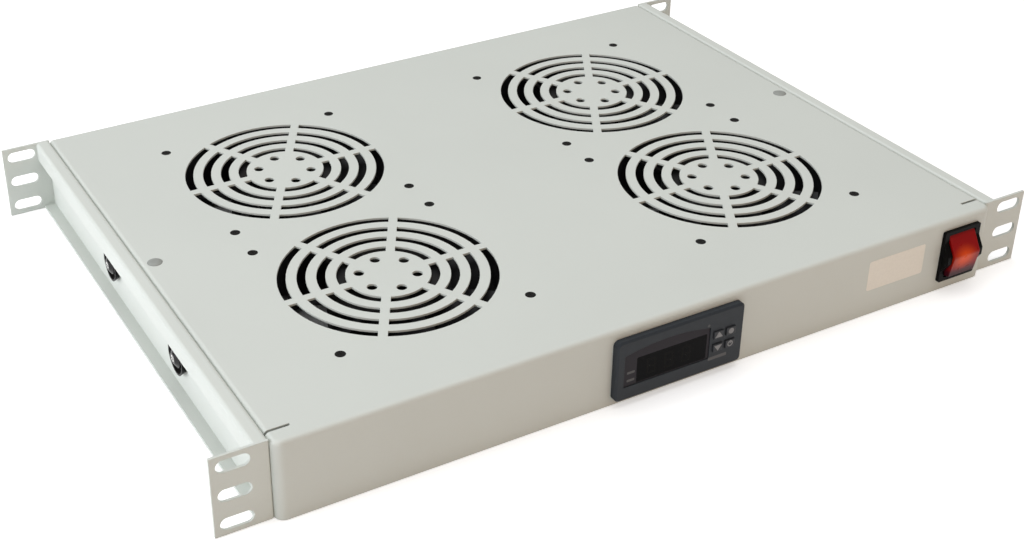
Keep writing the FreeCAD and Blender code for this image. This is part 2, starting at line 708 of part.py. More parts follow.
def railFixings():
    # pan-head screws in cup washers, through rail and tray side into hexagon nuts
    screw = newBody("rail_screw", keep=False)
    half = newSketch(screw, "XY_Plane")
    seat = "cup_wall"
    polygon(half, [
        ("0", "0"), (f"{seat} + rail_head_height", "0"), (f"{seat} + rail_head_height", "rail_head_radius / 2"),
        (f"{seat} + rail_head_height / 2", "rail_head_radius"), (seat, "rail_head_radius"),
        (seat, "rail_screw_radius"), (railThread, "rail_screw_radius"), (railThread, "0")])
    washer = newBody("cup_washer", keep=False)
    ring = newSketch(washer, "XY_Plane")
    polygon(ring, [
        ("0", "rail_screw_radius + rail_screw_room"), ("cup_wall", "rail_screw_radius + rail_screw_room"),
        ("cup_wall", "cup_radius - 2 * cup_wall"), ("cup_height", "cup_radius - cup_wall"),
        ("cup_height", "cup_radius"), ("0", "cup_radius - cup_wall")])
    for body, drawing in ((screw, half), (washer, ring)):
        spin(body, drawing, "H_Axis")
    nut = newBody("rail_nut", keep=False)
    flats = newSketch(nut, "YZ_Plane")
    hexagon(flats, "rail_nut_flats / 2")
    circle(flats, "0", "0", "rail_screw_radius")
    pad(nut, flats, "rail_nut_height")
    insideSide = f"({traySide} - tray_sheet)"
    web = f"({traySide} + ear_sheet)"
    for label, master, out, inset in (("rail_screws", screw, web, 1), ("cup_washers", washer, web, 1),
                                      ("rail_nuts", nut, insideSide, -1)):
        pieces = []
        for step in range(2):
            y = f"{frontFace} + rail_screw_front + {step} * rail_screw_pitch"
            x = out if inset > 0 else f"{out} - rail_nut_height"
            right = copyOf(master, f"{label}_right_{step + 1}", x, y, keep=False)
            left = doc.addObject("Part::Mirroring", f"{label}_left_{step + 1}")
            left.Source = right
            left.Normal = (1, 0, 0)
            pieces += [right, left]
        group(label, pieces)


def spin(body, drawing, axis):
    # a turned piece: its half section goes round one of the sketch's axes
    feature = body.newObject("PartDesign::Revolution", "Revolution")
    feature.Profile = drawing
    feature.ReferenceAxis = (drawing, [axis])
    feature.Angle = 360
    body.Tip = feature
    return feature


def hexagon(drawing, apothem):
    corners = []
    for step in range(6):
        angle = 60 * step + 30
        corners.append((f"{apothem} / cos(30) * cos({angle})", f"{apothem} / cos(30) * sin({angle})"))
    polygon(drawing, corners)


# ---- fans --------------------------------------------------------------------------------------

def fanFrame():
    # die-cast frame: two square flanges, a round barrel between them, and the motor seat on struts
    body = newBody("fan_frame", keep=False)
    for low in ("-fan_depth", "-fan_flange"):
        flange = newSketch(body, "XY_Plane", z=low)
        centredRectangle(flange, "0", "0", "fan_size", "fan_size")
        for across in "-+":
            for along in "-+":
                circle(flange, f"{across}fan_hole_pitch / 2", f"{along}fan_hole_pitch / 2", "fan_hole_radius")
        pad(body, flange, "fan_flange")
    barrel = newSketch(body, "XY_Plane", z="-fan_depth")
    circle(barrel, "0", "0", "barrel_radius")
    pad(body, barrel, "fan_depth")
    room = extent(body)
    fillet(body, "fan_corner", lambda edge: runsAlong(edge, 2)
           and min(room.XMax - abs(edge.CenterOfMass.x), room.YMax - abs(edge.CenterOfMass.y)) < 0.01
           and abs(abs(edge.CenterOfMass.x) - abs(edge.CenterOfMass.y)) < 0.01)
    bore = newSketch(body, "XY_Plane")
    circle(bore, "0", "0", "bore_radius")
    cut(body, bore, "fan_depth")
    motorSeat(body)
    return body


def motorSeat(body):
    floor = newSketch(body, "XY_Plane", z="-fan_depth")
    circle(floor, "0", "0", "seat_radius")
    pad(body, floor, "seat_thickness")
    strut = newSketch(body, "XY_Plane", z="-fan_depth")
    rectangle(strut, "seat_radius - 1", "-strut_width / 2", "(bore_radius + barrel_radius) / 2", "strut_width / 2")
    bar = pad(body, strut, "strut_height")
    pattern(body, bar, (strut, ["N_Axis"]), "strut_count")
    post = newSketch(body, "XY_Plane", z="-fan_depth")
    circle(post, "0", "0", "post_radius")
    pad(body, post, "seat_thickness + post_height")
    seat = newSketch(body, "XY_Plane", z="-fan_depth + seat_thickness + post_height")
    circle(seat, "0", "0", "bush_radius")
    cut(body, seat, "post_height")


def fanRotor():
    # hub cup with blades of bent sheet, whose tips are turned to follow the bore
    hub = newBody("rotor_hub", keep=False)
    cup = newSketch(hub, "XZ_Plane")
    high = "-hub_drop"
    bore = "shaft_radius + hub_fit"
    polygon(cup, [
        (bore, high), ("hub_radius - hub_bevel", high), ("hub_radius", f"{high} - hub_bevel"),
        ("hub_radius", f"{high} - hub_height"), ("hub_radius - hub_wall", f"{high} - hub_height"),
        ("hub_radius - hub_wall", f"{high} - hub_wall"), (bore, f"{high} - hub_wall")])
    spin(hub, cup, "V_Axis")
    blade = doc.addObject("Part::Common", "turned_blade")
    blade.Base = bentBlade()
    blade.Tool = ringOf("blade_reach", "-fan_depth", "bore_radius - tip_gap", "hub_radius - hub_wall / 2", "fan_depth")
    rotor = hub
    for step in range(sizes["blade_count"][0]):
        turned = copyOf(blade, f"blade_{step + 1}", keep=False)
        turned.setExpression("Placement.Rotation.Angle", rule(f"{step} * 360 / blade_count"))
        joined = doc.addObject("Part::Fuse", f"rotor_with_{step + 1}")
        joined.Base = rotor
        joined.Tool = turned
        rotor = joined
    return rotor


def bentBlade():
    # a strip bent to one radius and set on the hub, its ends cut at a slant: the steep end of the
    # arch is left at the hub and the flat end at the tip, which gives the blade its twist
    blade = newBody("rotor_blade", keep=False)
    section = newSketch(blade, "YZ_Plane", z="hub_radius / 2")
    steep, flat = sizes["blade_steep"][0], sizes["blade_flat"][0]
    curve, thick = sizes["blade_curve"][0], sizes["blade_thickness"][0]
    inner = arc(section, (0, 0), curve, 90 + flat, 90 + steep)
    outer = arc(section, (0, 0), curve + thick, 90 + flat, 90 + steep)

    def spot(radius, slope):
        turn = math.radians(90 + slope)
        return (radius * math.cos(turn), radius * math.sin(turn))

    high = line(section, spot(curve, flat), spot(curve + thick, flat))
    low = line(section, spot(curve + thick, steep), spot(curve, steep))
    for first, firstPoint, second, secondPoint in (
            (inner, 1, high, 1), (high, 2, outer, 1), (outer, 2, low, 1), (low, 2, inner, 2)):
        section.addConstraint(Sketcher.Constraint("Coincident", first, firstPoint, second, secondPoint))
    section.addConstraint(Sketcher.Constraint("Coincident", inner, 3, outer, 3))
    across = "blade_curve * (sin(blade_steep) + sin(blade_flat)) / 2"
    rise = "-hub_drop - hub_bevel - hub_height / 2 - blade_curve * (cos(blade_steep) + cos(blade_flat)) / 2"
    fix(section, inner, 3, across, rise)
    fixRadius(section, inner, "blade_curve")
    fixRadius(section, outer, "blade_curve + blade_thickness")
    for piece, point, radius, slope in (
            (high, 1, "blade_curve", "blade_flat"), (high, 2, "(blade_curve + blade_thickness)", "blade_flat"),
            (low, 1, "(blade_curve + blade_thickness)", "blade_steep"), (low, 2, "blade_curve", "blade_steep")):
        fixAcross(section, piece, point, f"{across} - {radius} * sin({slope})")
    pad(blade, section, "bore_radius - hub_radius / 2")
    ends = newSketch(blade, "XY_Plane")
    half = "blade_curve * (sin(blade_steep) - sin(blade_flat)) / 2"
    near, far = "hub_radius / 2", "bore_radius"
    beyond = "blade_curve"
    polygon(ends, [(near, f"{half} - blade_lead"), (far, half), (far, beyond), (near, beyond)])
    polygon(ends, [(far, f"-({half}) + blade_trail"), (near, f"-({half})"), (near, f"-{beyond}"),
                   (far, f"-{beyond}")])
    cut(blade, ends, "fan_depth")
    return blade


def fansInPlace():
    frame = fanFrame()
    rotor = fanRotor()
    floor = "(-fan_depth + seat_thickness)"
    shaft = cylinder("fan_shaft", "0", "0", "-hub_drop - shaft_length", "shaft_radius", "shaft_length")
    bush = ringOf("sleeve_bearing", floor, "bush_radius", "shaft_radius + shaft_room", "post_height - 1")
    stator = ringOf("stator", floor, "stator_radius", "post_radius + stator_room", "stator_height")
    for name, (x, y) in fans.items():
        for label, master in (("frame", frame), ("rotor", rotor), ("shaft", shaft)):
            copyOf(master, f"{name}_fan_{label}", x, y, underTop)
    for label, master in (("sleeve_bearings", bush), ("stators", stator)):
        group(label, [copyOf(master, f"{label}_{name}", x, y, underTop, keep=False)
                      for name, (x, y) in fans.items()])
    screw = fanScrew()
    spots = [spot for fan in fans.values() for spot in fanHoles(fan)]
    group("fan_screws", [copyOf(screw, f"fan_screw_{number}", x, y, topFace, keep=False)
                         for number, (x, y) in enumerate(spots, 1)])


def ringOf(label, z, outside, inside, height):
    body = newBody(label, keep=False)
    rings = newSketch(body, "XY_Plane", z=z)
    circle(rings, "0", "0", outside)
    circle(rings, "0", "0", inside)
    pad(body, rings, height)
    return body


def fanScrew():
    body = newBody("fan_screw", keep=False)
    half = newSketch(body, "XZ_Plane")
    polygon(half, [
        ("0", "0"), ("fan_screw_head", "0"), ("fan_screw_radius", "fan_screw_radius - fan_screw_head"),
        ("fan_screw_radius", "-fan_screw_length"), ("0", "-fan_screw_length")])
    spin(body, half, "V_Axis")
    return body


# ---- stiffener between the fan rows ------------------------------------------------------------

def crossBrace():
    # an upright web between the fan rows, with a tab at each end under the top sheet
    body = newBody("cross_brace")
    web = newSketch(body, "XZ_Plane", z=f"-{webFront}")
    half = f"({traySide} - tray_sheet - cutout_room)"
    low = f"({underTop} - brace_height)"
    polygon(web, [(f"-{half}", low), (half, low), (half, f"{underTop} - brace_bevel"), (f"{half} - brace_bevel", underTop),
                  (f"-{half} + brace_bevel", underTop), (f"-{half}", f"{underTop} - brace_bevel")])
    pad(body, web, "brace_sheet", towards=-1)
    tabs = newSketch(body, "XY_Plane", z=underTop)
    end = f"({half} - brace_bevel)"
    for left, right in ((f"-{end}", f"-{end} + brace_tab"), (f"{end} - brace_tab", end)):
        rectangle(tabs, left, webFront, right, f"{webFront} + brace_tab_width")
    pad(body, tabs, "brace_sheet", towards=-1)
    holes = newSketch(body, "XY_Plane", z=underTop)
    rivetHoles(holes)
    cut(body, holes, "brace_sheet + 1")
    rivet = newBody("brace_rivet", keep=False)
    dome = newSketch(rivet, "XZ_Plane")
    tail = "(-tray_sheet - brace_sheet)"
    polygon(dome, [
        ("0", "rivet_rise"), ("rivet_head / 2", "rivet_rise"), ("rivet_head", "0"), ("rivet_radius", "0"),
        ("rivet_radius", tail), ("rivet_tail", tail), ("rivet_tail - rivet_rise", f"{tail} - rivet_rise"),
        ("0", f"{tail} - rivet_rise")])
    spin(rivet, dome, "V_Axis")
    group("brace_rivets", [copyOf(rivet, f"brace_rivet_{name}", f"{side}({traySide} - rivet_inset)", riveted,
                                  topFace, keep=False) for name, side in (("left", "-"), ("right", "+"))])


def rivetHoles(drawing):
    for side in "-+":
        circle(drawing, f"{side}({traySide} - rivet_inset)", riveted, "rivet_radius + rivet_room")


# ---- thermostat --------------------------------------------------------------------------------

bezelFace = f"({frontFace} - bezel_depth)"
keySpots = [(f"(thermostat_x + {caseSide} - key_inset - {column} * key_step)", f"(thermostat_z {side} key_rise)")
            for side in "+-" for column in (1, 0)]


def thermostat():
    bezel = newBody("thermostat_bezel")
    front = newSketch(bezel, "XZ_Plane", z=f"-{frontFace}")
    centredRectangle(front, "thermostat_x", "thermostat_z",
                     "case_width + 2 * bezel_lap", "case_height + 2 * bezel_lap")
    pad(bezel, front, "bezel_depth")
    room = extent(bezel)
    fillet(bezel, "bezel_corner", lambda edge: runsAlong(edge, 1))
    chamfer(bezel, "bezel_edge", lambda edge: edge.BoundBox.YMax < room.YMin + 0.01)
    seat = newSketch(bezel, "XZ_Plane", z=f"-{bezelFace}")
    archedOutline(seat, "0")
    cut(bezel, seat, "window_recess + window_inset")
    holes = newSketch(bezel, "XZ_Plane", z=f"-{bezelFace} + 1")
    for x, z in keySpots:
        centredRectangle(holes, x, z, "key_width + 2 * key_room", "key_height + 2 * key_room")
    cut(bezel, holes, "bezel_depth + 2")

    window = newBody("display_window")
    pane = newSketch(window, "XZ_Plane", z=f"-{bezelFace} - window_recess - window_inset")
    archedOutline(pane, "window_room")
    pad(window, pane, "window_recess")

    for number, (x, z) in enumerate(keySpots, 1):
        key = newBody(f"key_{number}")
        cap = newSketch(key, "XZ_Plane", z=f"-{frontFace}")
        centredRectangle(cap, x, z, "key_width", "key_height")
        pad(key, cap, "bezel_depth + key_proud")
        room = extent(key)
        fillet(key, "key_collar / 2", lambda edge: edge.BoundBox.YMax < room.YMin + 0.01)
        collar = newSketch(key, "XZ_Plane", z=f"-{frontFace} - key_slack - key_collar")
        centredRectangle(collar, x, z, "key_width + 2 * key_collar", "key_height + 2 * key_collar")
        pad(key, collar, "key_collar")
        stem = newSketch(key, "XZ_Plane", z=f"-{frontFace} - key_stem")
        centredRectangle(stem, x, z, "key_width", "key_height")
        pad(key, stem, "key_stem")
    caseAndBoards()


def archedOutline(drawing, room):
    # window with an arched top, drawn in by some room on every side
    left = f"(thermostat_x - {caseSide} + window_left + {room})"
    right = f"(thermostat_x + {caseSide} - window_right - {room})"
    low = f"(thermostat_z - case_height / 2 + window_low + {room})"
    high = f"(thermostat_z + case_height / 2 - window_high - {room})"
    half = (sizes["case_width"][0] - sizes["window_left"][0] - sizes["window_right"][0]) / 2
    rise = sizes["window_arch"][0]
    radius = (half ** 2 + rise ** 2) / (2 * rise)
    sweep = math.degrees(math.asin(half / radius))
    first = line(drawing, (-half, 1), (-half, -10))
    floor = line(drawing, (-half, -10), (half, -10))
    last = line(drawing, (half, -10), (half, 1))
    crown = arc(drawing, (0, 1 + rise - radius), radius, 90 - sweep, 90 + sweep)
    join(drawing, [first, floor, last, crown])
    for piece, x, z in ((first, left, high), (floor, left, low), (last, right, low), (crown, right, high)):
        fix(drawing, piece, 1, x, z)
    width = f"({right} - {left})"
    fixRadius(drawing, crown, f"({width}^2 / 4 + window_arch^2) / (2 * window_arch)")


def caseAndBoards():
    case = newBody("thermostat_case")
    shell = newSketch(case, "XZ_Plane", z=f"-{frontFace}")
    centredRectangle(shell, "thermostat_x", "thermostat_z", "case_width", "case_height")
    pad(case, shell, "case_depth", towards=-1)
    inside = newSketch(case, "XZ_Plane", z=f"-{frontFace}")
    centredRectangle(inside, "thermostat_x", "thermostat_z",
                     "case_width - 2 * case_wall", "case_height - 2 * case_wall")
    cut(case, inside, "case_depth - case_wall")
    width = "(case_width - 2 * case_wall)"
    height = "(case_height - 2 * case_wall)"
    left = f"(thermostat_x - {width} / 2)"
    low = f"(thermostat_z - {height} / 2)"
    behindKeys = f"({frontFace} + key_collar + board_back)"
    control = box("control_board", left, behindKeys, low, width, "board_sheet", height)
    power = box("power_board", left, f"{behindKeys} + board_sheet", f"{low} + board_low", width,
                "case_depth - case_wall - key_collar - board_back - board_sheet - board_end", "board_sheet")
    relay = box("thermostat_relay", f"{left} + relay_left", f"{behindKeys} + relay_back",
                f"{low} + board_low + board_sheet", "relay_length", "relay_width", "relay_height")
    terminals = box("thermostat_terminals", "thermostat_x - terminal_length / 2", f"{frontFace} + case_depth",
                    "thermostat_z - terminal_height / 2", "terminal_length", "terminal_depth", "terminal_height")
    subParts.extend([control, power, relay, terminals])
    for name, side in (("left", -1), ("right", 1)):
        clip = newBody(f"{name}_side_clip")
        wedge = newSketch(clip, "XY_Plane", z="thermostat_z - clip_height / 2")
        wall = f"(thermostat_x + {side} * case_width / 2)"
        out = f"{side} * clip_width"
        near = f"({insideFront})"
        polygon(wedge, [(wall, near), (f"{wall} + {out}", near), (f"{wall} + {out}", f"{near} + clip_toe"),
                        (f"{wall} + {out} / 2", f"{near} + clip_length"), (wall, f"{near} + clip_length")])
        pad(clip, wedge, "clip_height")


# ---- rocker switch -----------------------------------------------------------------------------

pivotPlace = f"({frontFace} + pivot_back)"


def rockerSwitch():
    housing = newBody("switch_housing")
    frame = newSketch(housing, "XZ_Plane", z=f"-{frontFace}")
    centredRectangle(frame, switchMiddle, "switch_z", "switch_width", "switch_height")
    pad(housing, frame, "switch_frame")
    fillet(housing, "switch_frame / 2", lambda edge: runsAlong(edge, 1))
    block = newSketch(housing, "XZ_Plane", z=f"-{frontFace}")
    centredRectangle(block, switchMiddle, "switch_z", "switch_body_width", "switch_body_height")
    pad(housing, block, "switch_depth", towards=-1)
    cheeks = newSketch(housing, "YZ_Plane", z=f"{switchMiddle} - switch_width / 2 + cheek_inset")
    peak = f"({frontFace} - switch_frame - cheek_rise)"
    foot = f"({frontFace} - switch_frame / 2)"
    polygon(cheeks, [(foot, "switch_z - cheek_half"), (foot, "switch_z + cheek_half"),
                     (f"{frontFace} - switch_frame", "switch_z + cheek_half"),
                     (peak, "switch_z + cheek_half / 4"), (peak, "switch_z - cheek_half / 4"),
                     (f"{frontFace} - switch_frame", "switch_z - cheek_half")])
    pad(housing, cheeks, "switch_width - 2 * cheek_inset")
    well = newSketch(housing, "XZ_Plane", z=f"-{frontFace} + switch_frame + cheek_rise + 1")
    centredRectangle(well, switchMiddle, "switch_z", "well_width", "well_height")
    cut(housing, well, "switch_frame + cheek_rise + 1 + well_depth")
    holes = newSketch(housing, "YZ_Plane", z=f"{switchMiddle} + well_width / 2 + pivot_reach + pivot_room")
    circle(holes, pivotPlace, "switch_z", "pivot_radius + pivot_room")
    cut(housing, holes, "well_width + 2 * pivot_reach + 2 * pivot_room")

    rocker = newBody("rocker")
    side = newSketch(rocker, "YZ_Plane", z="-rocker_width / 2")
    polygon(side, [("-rocker_edge", "-rocker_half"), ("-rocker_ridge", "0"), ("-rocker_edge", "rocker_half"),
                   ("-rocker_edge / 3", "rocker_half"), ("rocker_edge", "rocker_half / 3"),
                   ("rocker_edge", "-rocker_half / 3"), ("-rocker_edge / 3", "-rocker_half")])
    pad(rocker, side, "rocker_width")
    room = extent(rocker)
    fillet(rocker, "rocker_round", lambda edge: runsAlong(edge, 0) and edge.CenterOfMass.y < room.YMin + 0.01)
    trunnions = newSketch(rocker, "YZ_Plane", z="-rocker_width / 2 - (well_width - rocker_width) / 2 - pivot_reach")
    circle(trunnions, "0", "0", "pivot_radius")
    pad(rocker, trunnions, "well_width + 2 * pivot_reach")
    rocker.Placement.Rotation = FreeCAD.Rotation(FreeCAD.Vector(1, 0, 0), -sizes["rocker_tilt"][0])
    place(rocker, switchMiddle, pivotPlace, "switch_z")
    tabs = [box(f"switch_tab_{number}", f"{switchMiddle} {across} tab_step_across / 2 - tab_width / 2",
                f"{frontFace} + switch_depth", f"switch_z {along} tab_step_up / 2 - tab_sheet / 2", "tab_width", "tab_length", "tab_sheet")
            for number, (across, along) in enumerate(("--", "+-", "-+", "++"), 1)]
    group("switch_terminals", tabs)


# ---- mains inlet -------------------------------------------------------------------------------

def mainsInlet():
    body = newBody("mains_inlet")
    flange = newSketch(body, "XZ_Plane", z=f"-{rearFace}")
    centredRectangle(flange, inletMiddle, "0", "inlet_flange_width", "inlet_flange_height")
    pad(body, flange, "inlet_flange", towards=-1)
    fillet(body, "inlet_flange", lambda edge: runsAlong(edge, 1))
    block = newSketch(body, "XZ_Plane", z=f"-{rearFace}")
    inletOutline(block, "inlet_width", "inlet_height", "inlet_bevel")
    pad(body, block, "inlet_depth")
    socket = newSketch(body, "XZ_Plane", z=f"-{rearFace} - inlet_flange - 1")
    inletOutline(socket, "socket_width", "socket_height", "inlet_bevel")
    cut(body, socket, "socket_depth + 1", towards=1)
    sinks = newSketch(body, "XZ_Plane", z=f"-{rearFace} - inlet_flange")
    for side in "-+":
        circle(sinks, f"{inletMiddle} {side} inlet_hole_pitch / 2", "0", "inlet_screw_radius + cutout_room")
    cut(body, sinks, "inlet_flange", towards=1)
    floor = f"({rearFace} + inlet_flange - socket_depth)"
    spots = (("live", "pin_step", "-pin_drop"), ("earth", "0", "pin_drop"), ("neutral", "-pin_step", "-pin_drop"))
    pins = [box(f"inlet_pin_{name}", f"{inletMiddle} + {x} - pin_width / 2", floor, f"{z} - pin_height / 2",
                "pin_width", "pin_length", "pin_height") for name, x, z in spots]
    group("inlet_pins", pins)
    tabs = [box(f"inlet_tab_{name}", f"{inletMiddle} + {x} - tab_sheet / 2",
                f"{rearFace} - inlet_depth - tab_length", f"{z} - tab_width / 2",
                "tab_sheet", "tab_length", "tab_width") for name, x, z in spots]
    group("inlet_terminals", tabs)
    screw = newBody("inlet_screw", keep=False)
    half = newSketch(screw, "YZ_Plane")
    polygon(half, [
        ("inlet_screw_rise", "0"), ("inlet_screw_rise", "inlet_screw_head / 2"), ("0", "inlet_screw_head"), ("0", "inlet_screw_radius"),
        ("-inlet_screw_length", "inlet_screw_radius"), ("-inlet_screw_length", "0")])
    spin(screw, half, "H_Axis")
    group("inlet_screws", [copyOf(screw, f"inlet_screw_{name}", f"{inletMiddle} {side} inlet_hole_pitch / 2",
                                  f"{rearFace} + inlet_flange", "0", keep=False)
                           for name, side in (("left", "-"), ("right", "+"))])


# ---- the whole tray ----------------------------------------------------------------------------

def exportParts():
    doc.recompute()
    for item in doc.Objects:
        if "Invalid" in item.State or "Error" in item.State:
            raise ValueError(f"{item.Label} failed: {item.State}")
    for item in subParts:
        if item.Shape.isNull() or not item.Shape.isValid():
            raise ValueError(f"{item.Label} has no valid shape")
    os.makedirs("parts", exist_ok=True)
    for item in subParts:
        item.Shape.exportStep(f"parts/{item.Label}.step")
        print(item.Label, round(item.Shape.Volume), len(item.Shape.Solids))


trayHousing()
rails()
railFixings()
fansInPlace()
crossBrace()
thermostat()
rockerSwitch()
mainsInlet()
exportParts()
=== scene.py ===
# Rack fan tray: finishes, wiring, small trim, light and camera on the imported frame.
import json
import math

import bpy
import numpy as np
from mathutils import Matrix, Vector


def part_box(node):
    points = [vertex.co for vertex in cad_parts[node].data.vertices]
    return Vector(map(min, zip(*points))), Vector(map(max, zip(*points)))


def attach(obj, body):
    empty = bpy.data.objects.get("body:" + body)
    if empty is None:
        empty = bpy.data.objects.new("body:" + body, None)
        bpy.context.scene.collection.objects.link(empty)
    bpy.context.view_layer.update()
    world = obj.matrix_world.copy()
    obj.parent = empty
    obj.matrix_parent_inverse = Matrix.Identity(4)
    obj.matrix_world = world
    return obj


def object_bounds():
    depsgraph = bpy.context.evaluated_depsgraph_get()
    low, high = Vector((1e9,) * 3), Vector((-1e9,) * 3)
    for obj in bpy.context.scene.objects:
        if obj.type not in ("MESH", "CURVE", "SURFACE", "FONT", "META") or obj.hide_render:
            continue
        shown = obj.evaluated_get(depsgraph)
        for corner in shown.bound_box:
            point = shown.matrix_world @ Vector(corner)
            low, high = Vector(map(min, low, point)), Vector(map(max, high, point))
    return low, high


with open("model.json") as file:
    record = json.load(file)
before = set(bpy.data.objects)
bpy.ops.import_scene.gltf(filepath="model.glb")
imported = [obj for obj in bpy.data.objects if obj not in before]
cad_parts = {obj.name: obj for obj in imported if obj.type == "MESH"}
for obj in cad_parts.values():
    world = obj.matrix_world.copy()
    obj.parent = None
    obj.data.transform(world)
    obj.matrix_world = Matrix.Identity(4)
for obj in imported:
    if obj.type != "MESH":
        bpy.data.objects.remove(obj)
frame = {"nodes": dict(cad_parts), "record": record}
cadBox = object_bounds()
nodes = frame["nodes"]
mm = 0.001
print("frame loaded:", len(nodes), "nodes")


def middle(node):
    low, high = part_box(node)
    return (low + high) / 2


class Sig:
    # one socket of a node tree; arithmetic on it adds Math nodes
    def __init__(self, finish, socket):
        self.finish, self.socket = finish, socket

    def maths(self, operation, *others):
        terms = {i: term for i, term in enumerate((self, *others))}
        return self.finish.add("ShaderNodeMath", {"operation": operation}, terms)

    def flipped(self, operation, other):
        return self.finish.add("ShaderNodeMath", {"operation": operation}, {0: other, 1: self})

    def __add__(self, other):
        return self.maths("ADD", other)

    def __sub__(self, other):
        return self.maths("SUBTRACT", other)

    def __mul__(self, other):
        return self.maths("MULTIPLY", other)

    def __truediv__(self, other):
        return self.maths("DIVIDE", other)

    def __rsub__(self, other):
        return self.flipped("SUBTRACT", other)

    def __neg__(self):
        return self.maths("MULTIPLY", -1.0)

    __radd__, __rmul__ = __add__, __mul__

    def abs(self):
        return self.maths("ABSOLUTE")

    def root(self):
        return self.maths("SQRT")

    def most(self, other):
        return self.maths("MAXIMUM", other)

    def above(self, edge, soft):
        # 0 below the edge, 1 a little above it
        return self.finish.add("ShaderNodeMapRange", {"interpolation_type": "SMOOTHSTEP"},
                               {"Value": self, "From Min": edge - soft, "From Max": edge + soft})


class Finish:
    # a material on one Principled shader, with the tools to feed it
    def __init__(self, name, colour, roughness, metallic=0.0, **constants):
        self.material = bpy.data.materials.new(name)
        self.material.use_nodes = True
        self.tree = self.material.node_tree
        self.shader = self.tree.nodes["Principled BSDF"]
        self.material.diffuse_color = (*colour, 1.0)
        self.give("Base Color", (*colour, 1.0))
        self.give("Roughness", roughness)
        self.give("Metallic", metallic)
        for socket, value in constants.items():
            self.give(socket.replace("_", " "), value)
        self.place = self.add("ShaderNodeTexCoord", {}, {}, "Object")

    def add(self, kind, settings, inputs, output=0):
        node = self.tree.nodes.new(kind)
        for setting, value in settings.items():
            setattr(node, setting, value)
        for socket, value in inputs.items():
            self.feed(node.inputs[socket], value)
        return Sig(self, node.outputs[output])

    def feed(self, socket, value):
        if isinstance(value, Sig):
            self.tree.links.new(value.socket, socket)
        else:
            socket.default_value = value

    def give(self, socket, value):
        self.feed(self.shader.inputs[socket], value)

    def axis(self, name):
        return self.add("ShaderNodeSeparateXYZ", {}, {0: self.place}, name)

    def noise(self, size, detail=2.0, stretch=(1, 1, 1)):
        # values 0 to 1 in patches of about the given size in metres
        spot = self.add("ShaderNodeVectorMath", {"operation": "MULTIPLY"}, {0: self.place, 1: stretch})
        grain = {"Vector": spot, "Scale": 1 / size, "Detail": detail}
        return self.add("ShaderNodeTexNoise", {}, grain, "Fac")

    def cells(self, size):
        return self.add("ShaderNodeTexVoronoi", {}, {"Vector": self.place, "Scale": 1 / size}, "Distance")

    def mixed(self, mask, under, over):
        # a colour is a tuple or another mix
        colours = [colour if isinstance(colour, Sig) else (*colour, 1.0) for colour in (under, over)]
        blend = {0: mask, 6: colours[0], 7: colours[1]}
        return self.add("ShaderNodeMix", {"data_type": "RGBA"}, blend, 2)

    def relief(self, height, depth, strength=1.0, edge=0.0):
        # a bump of the given depth in metres, on edges softened by a small radius
        inputs = {"Height": height, "Distance": depth, "Strength": strength}
        if edge:
            inputs["Normal"] = self.add("ShaderNodeBevel", {"samples": 6}, {"Radius": edge})
        self.give("Normal", self.add("ShaderNodeBump", {}, inputs))

    def panel(self, low, high, soft=0.05 * mm, corner=0.0):
        # 1 inside an upright rectangle seen from the front, low and high being (x, z) corners
        wide, tall = (high[0] - low[0]) / 2 - corner, (high[1] - low[1]) / 2 - corner
        dx = ((self.axis("X") - (low[0] + high[0]) / 2).abs() - wide).most(0.0)
        dz = ((self.axis("Z") - (low[1] + high[1]) / 2).abs() - tall).most(0.0)
        return 1 - (dx * dx + dz * dz).root().above(corner, soft)


def scaled(colour, factor):
    return [min(1.0, channel * factor) for channel in colour]


coat = {"colour": (0.655, 0.690, 0.650), "cloud": 90 * mm, "cloudDepth": 0.93, "speck": 0.8 * mm,
        "peel": 0.9 * mm, "grain": 0.22 * mm, "depth": 0.025 * mm, "edge": 0.35 * mm}


def powderCoat(name, tint=1.0):
    # baked powder paint: orange peel, a fine grain and a faint cloudiness
    # a tint above 1 makes a lighter copy of this paint as painted light, a tint below 1 a darker copy as
    # painted shade
    colour = scaled(coat["colour"], tint)
    paint = Finish(name, colour, 0.46, Specular_IOR_Level=0.35)
    speck = paint.noise(coat["speck"], 1.0).above(0.66, 0.05)
    tone = paint.mixed(paint.noise(coat["cloud"], 3.0), scaled(colour, coat["cloudDepth"]), colour)
    paint.give("Base Color", paint.mixed(speck * 0.12, tone, scaled(colour, 0.85)))
    paint.give("Roughness", 0.42 + 0.10 * paint.noise(12 * mm) + 0.05 * paint.noise(0.6 * mm))
    skin = paint.noise(coat["peel"], 1.0) + 0.35 * paint.noise(coat["grain"], 1.0)
    paint.relief(skin, coat["depth"], 0.5, coat["edge"])
    return paint


def mouldedPlastic(name, colour, roughness, grain=0.25 * mm, depth=0.02 * mm, edge=0.2 * mm, **constants):
    # spark-eroded texture with slightly worn, shinier spots
    plastic = Finish(name, colour, roughness, **constants)
    plastic.give("Roughness", roughness - 0.06 + 0.12 * plastic.noise(5 * mm, 2.0))
    wear_and_painted_highlight = plastic.noise(2.5 * mm, 3.0)
    plastic.give("Base Color", plastic.mixed(wear_and_painted_highlight, scaled(colour, 0.88), scaled(colour, 1.1)))
    plastic.relief(plastic.noise(grain, 2.0), depth, 0.6, edge)
    return plastic


def zincPlate(name):
    # bright zinc: faint spangle and handling marks, a touch of blue and straw
    metal = Finish(name, (0.70, 0.70, 0.69), 0.32, 1.0)
    metal.give("Base Color", metal.mixed(metal.noise(7 * mm, 2.0), (0.66, 0.69, 0.72), (0.74, 0.72, 0.65)))
    metal.give("Roughness", 0.24 + 0.12 * metal.noise(3 * mm, 3.0) + 4 * metal.cells(1.6 * mm))
    metal.relief(metal.noise(0.5 * mm, 3.0), 0.01 * mm, 0.5, 0.12 * mm)
    return metal


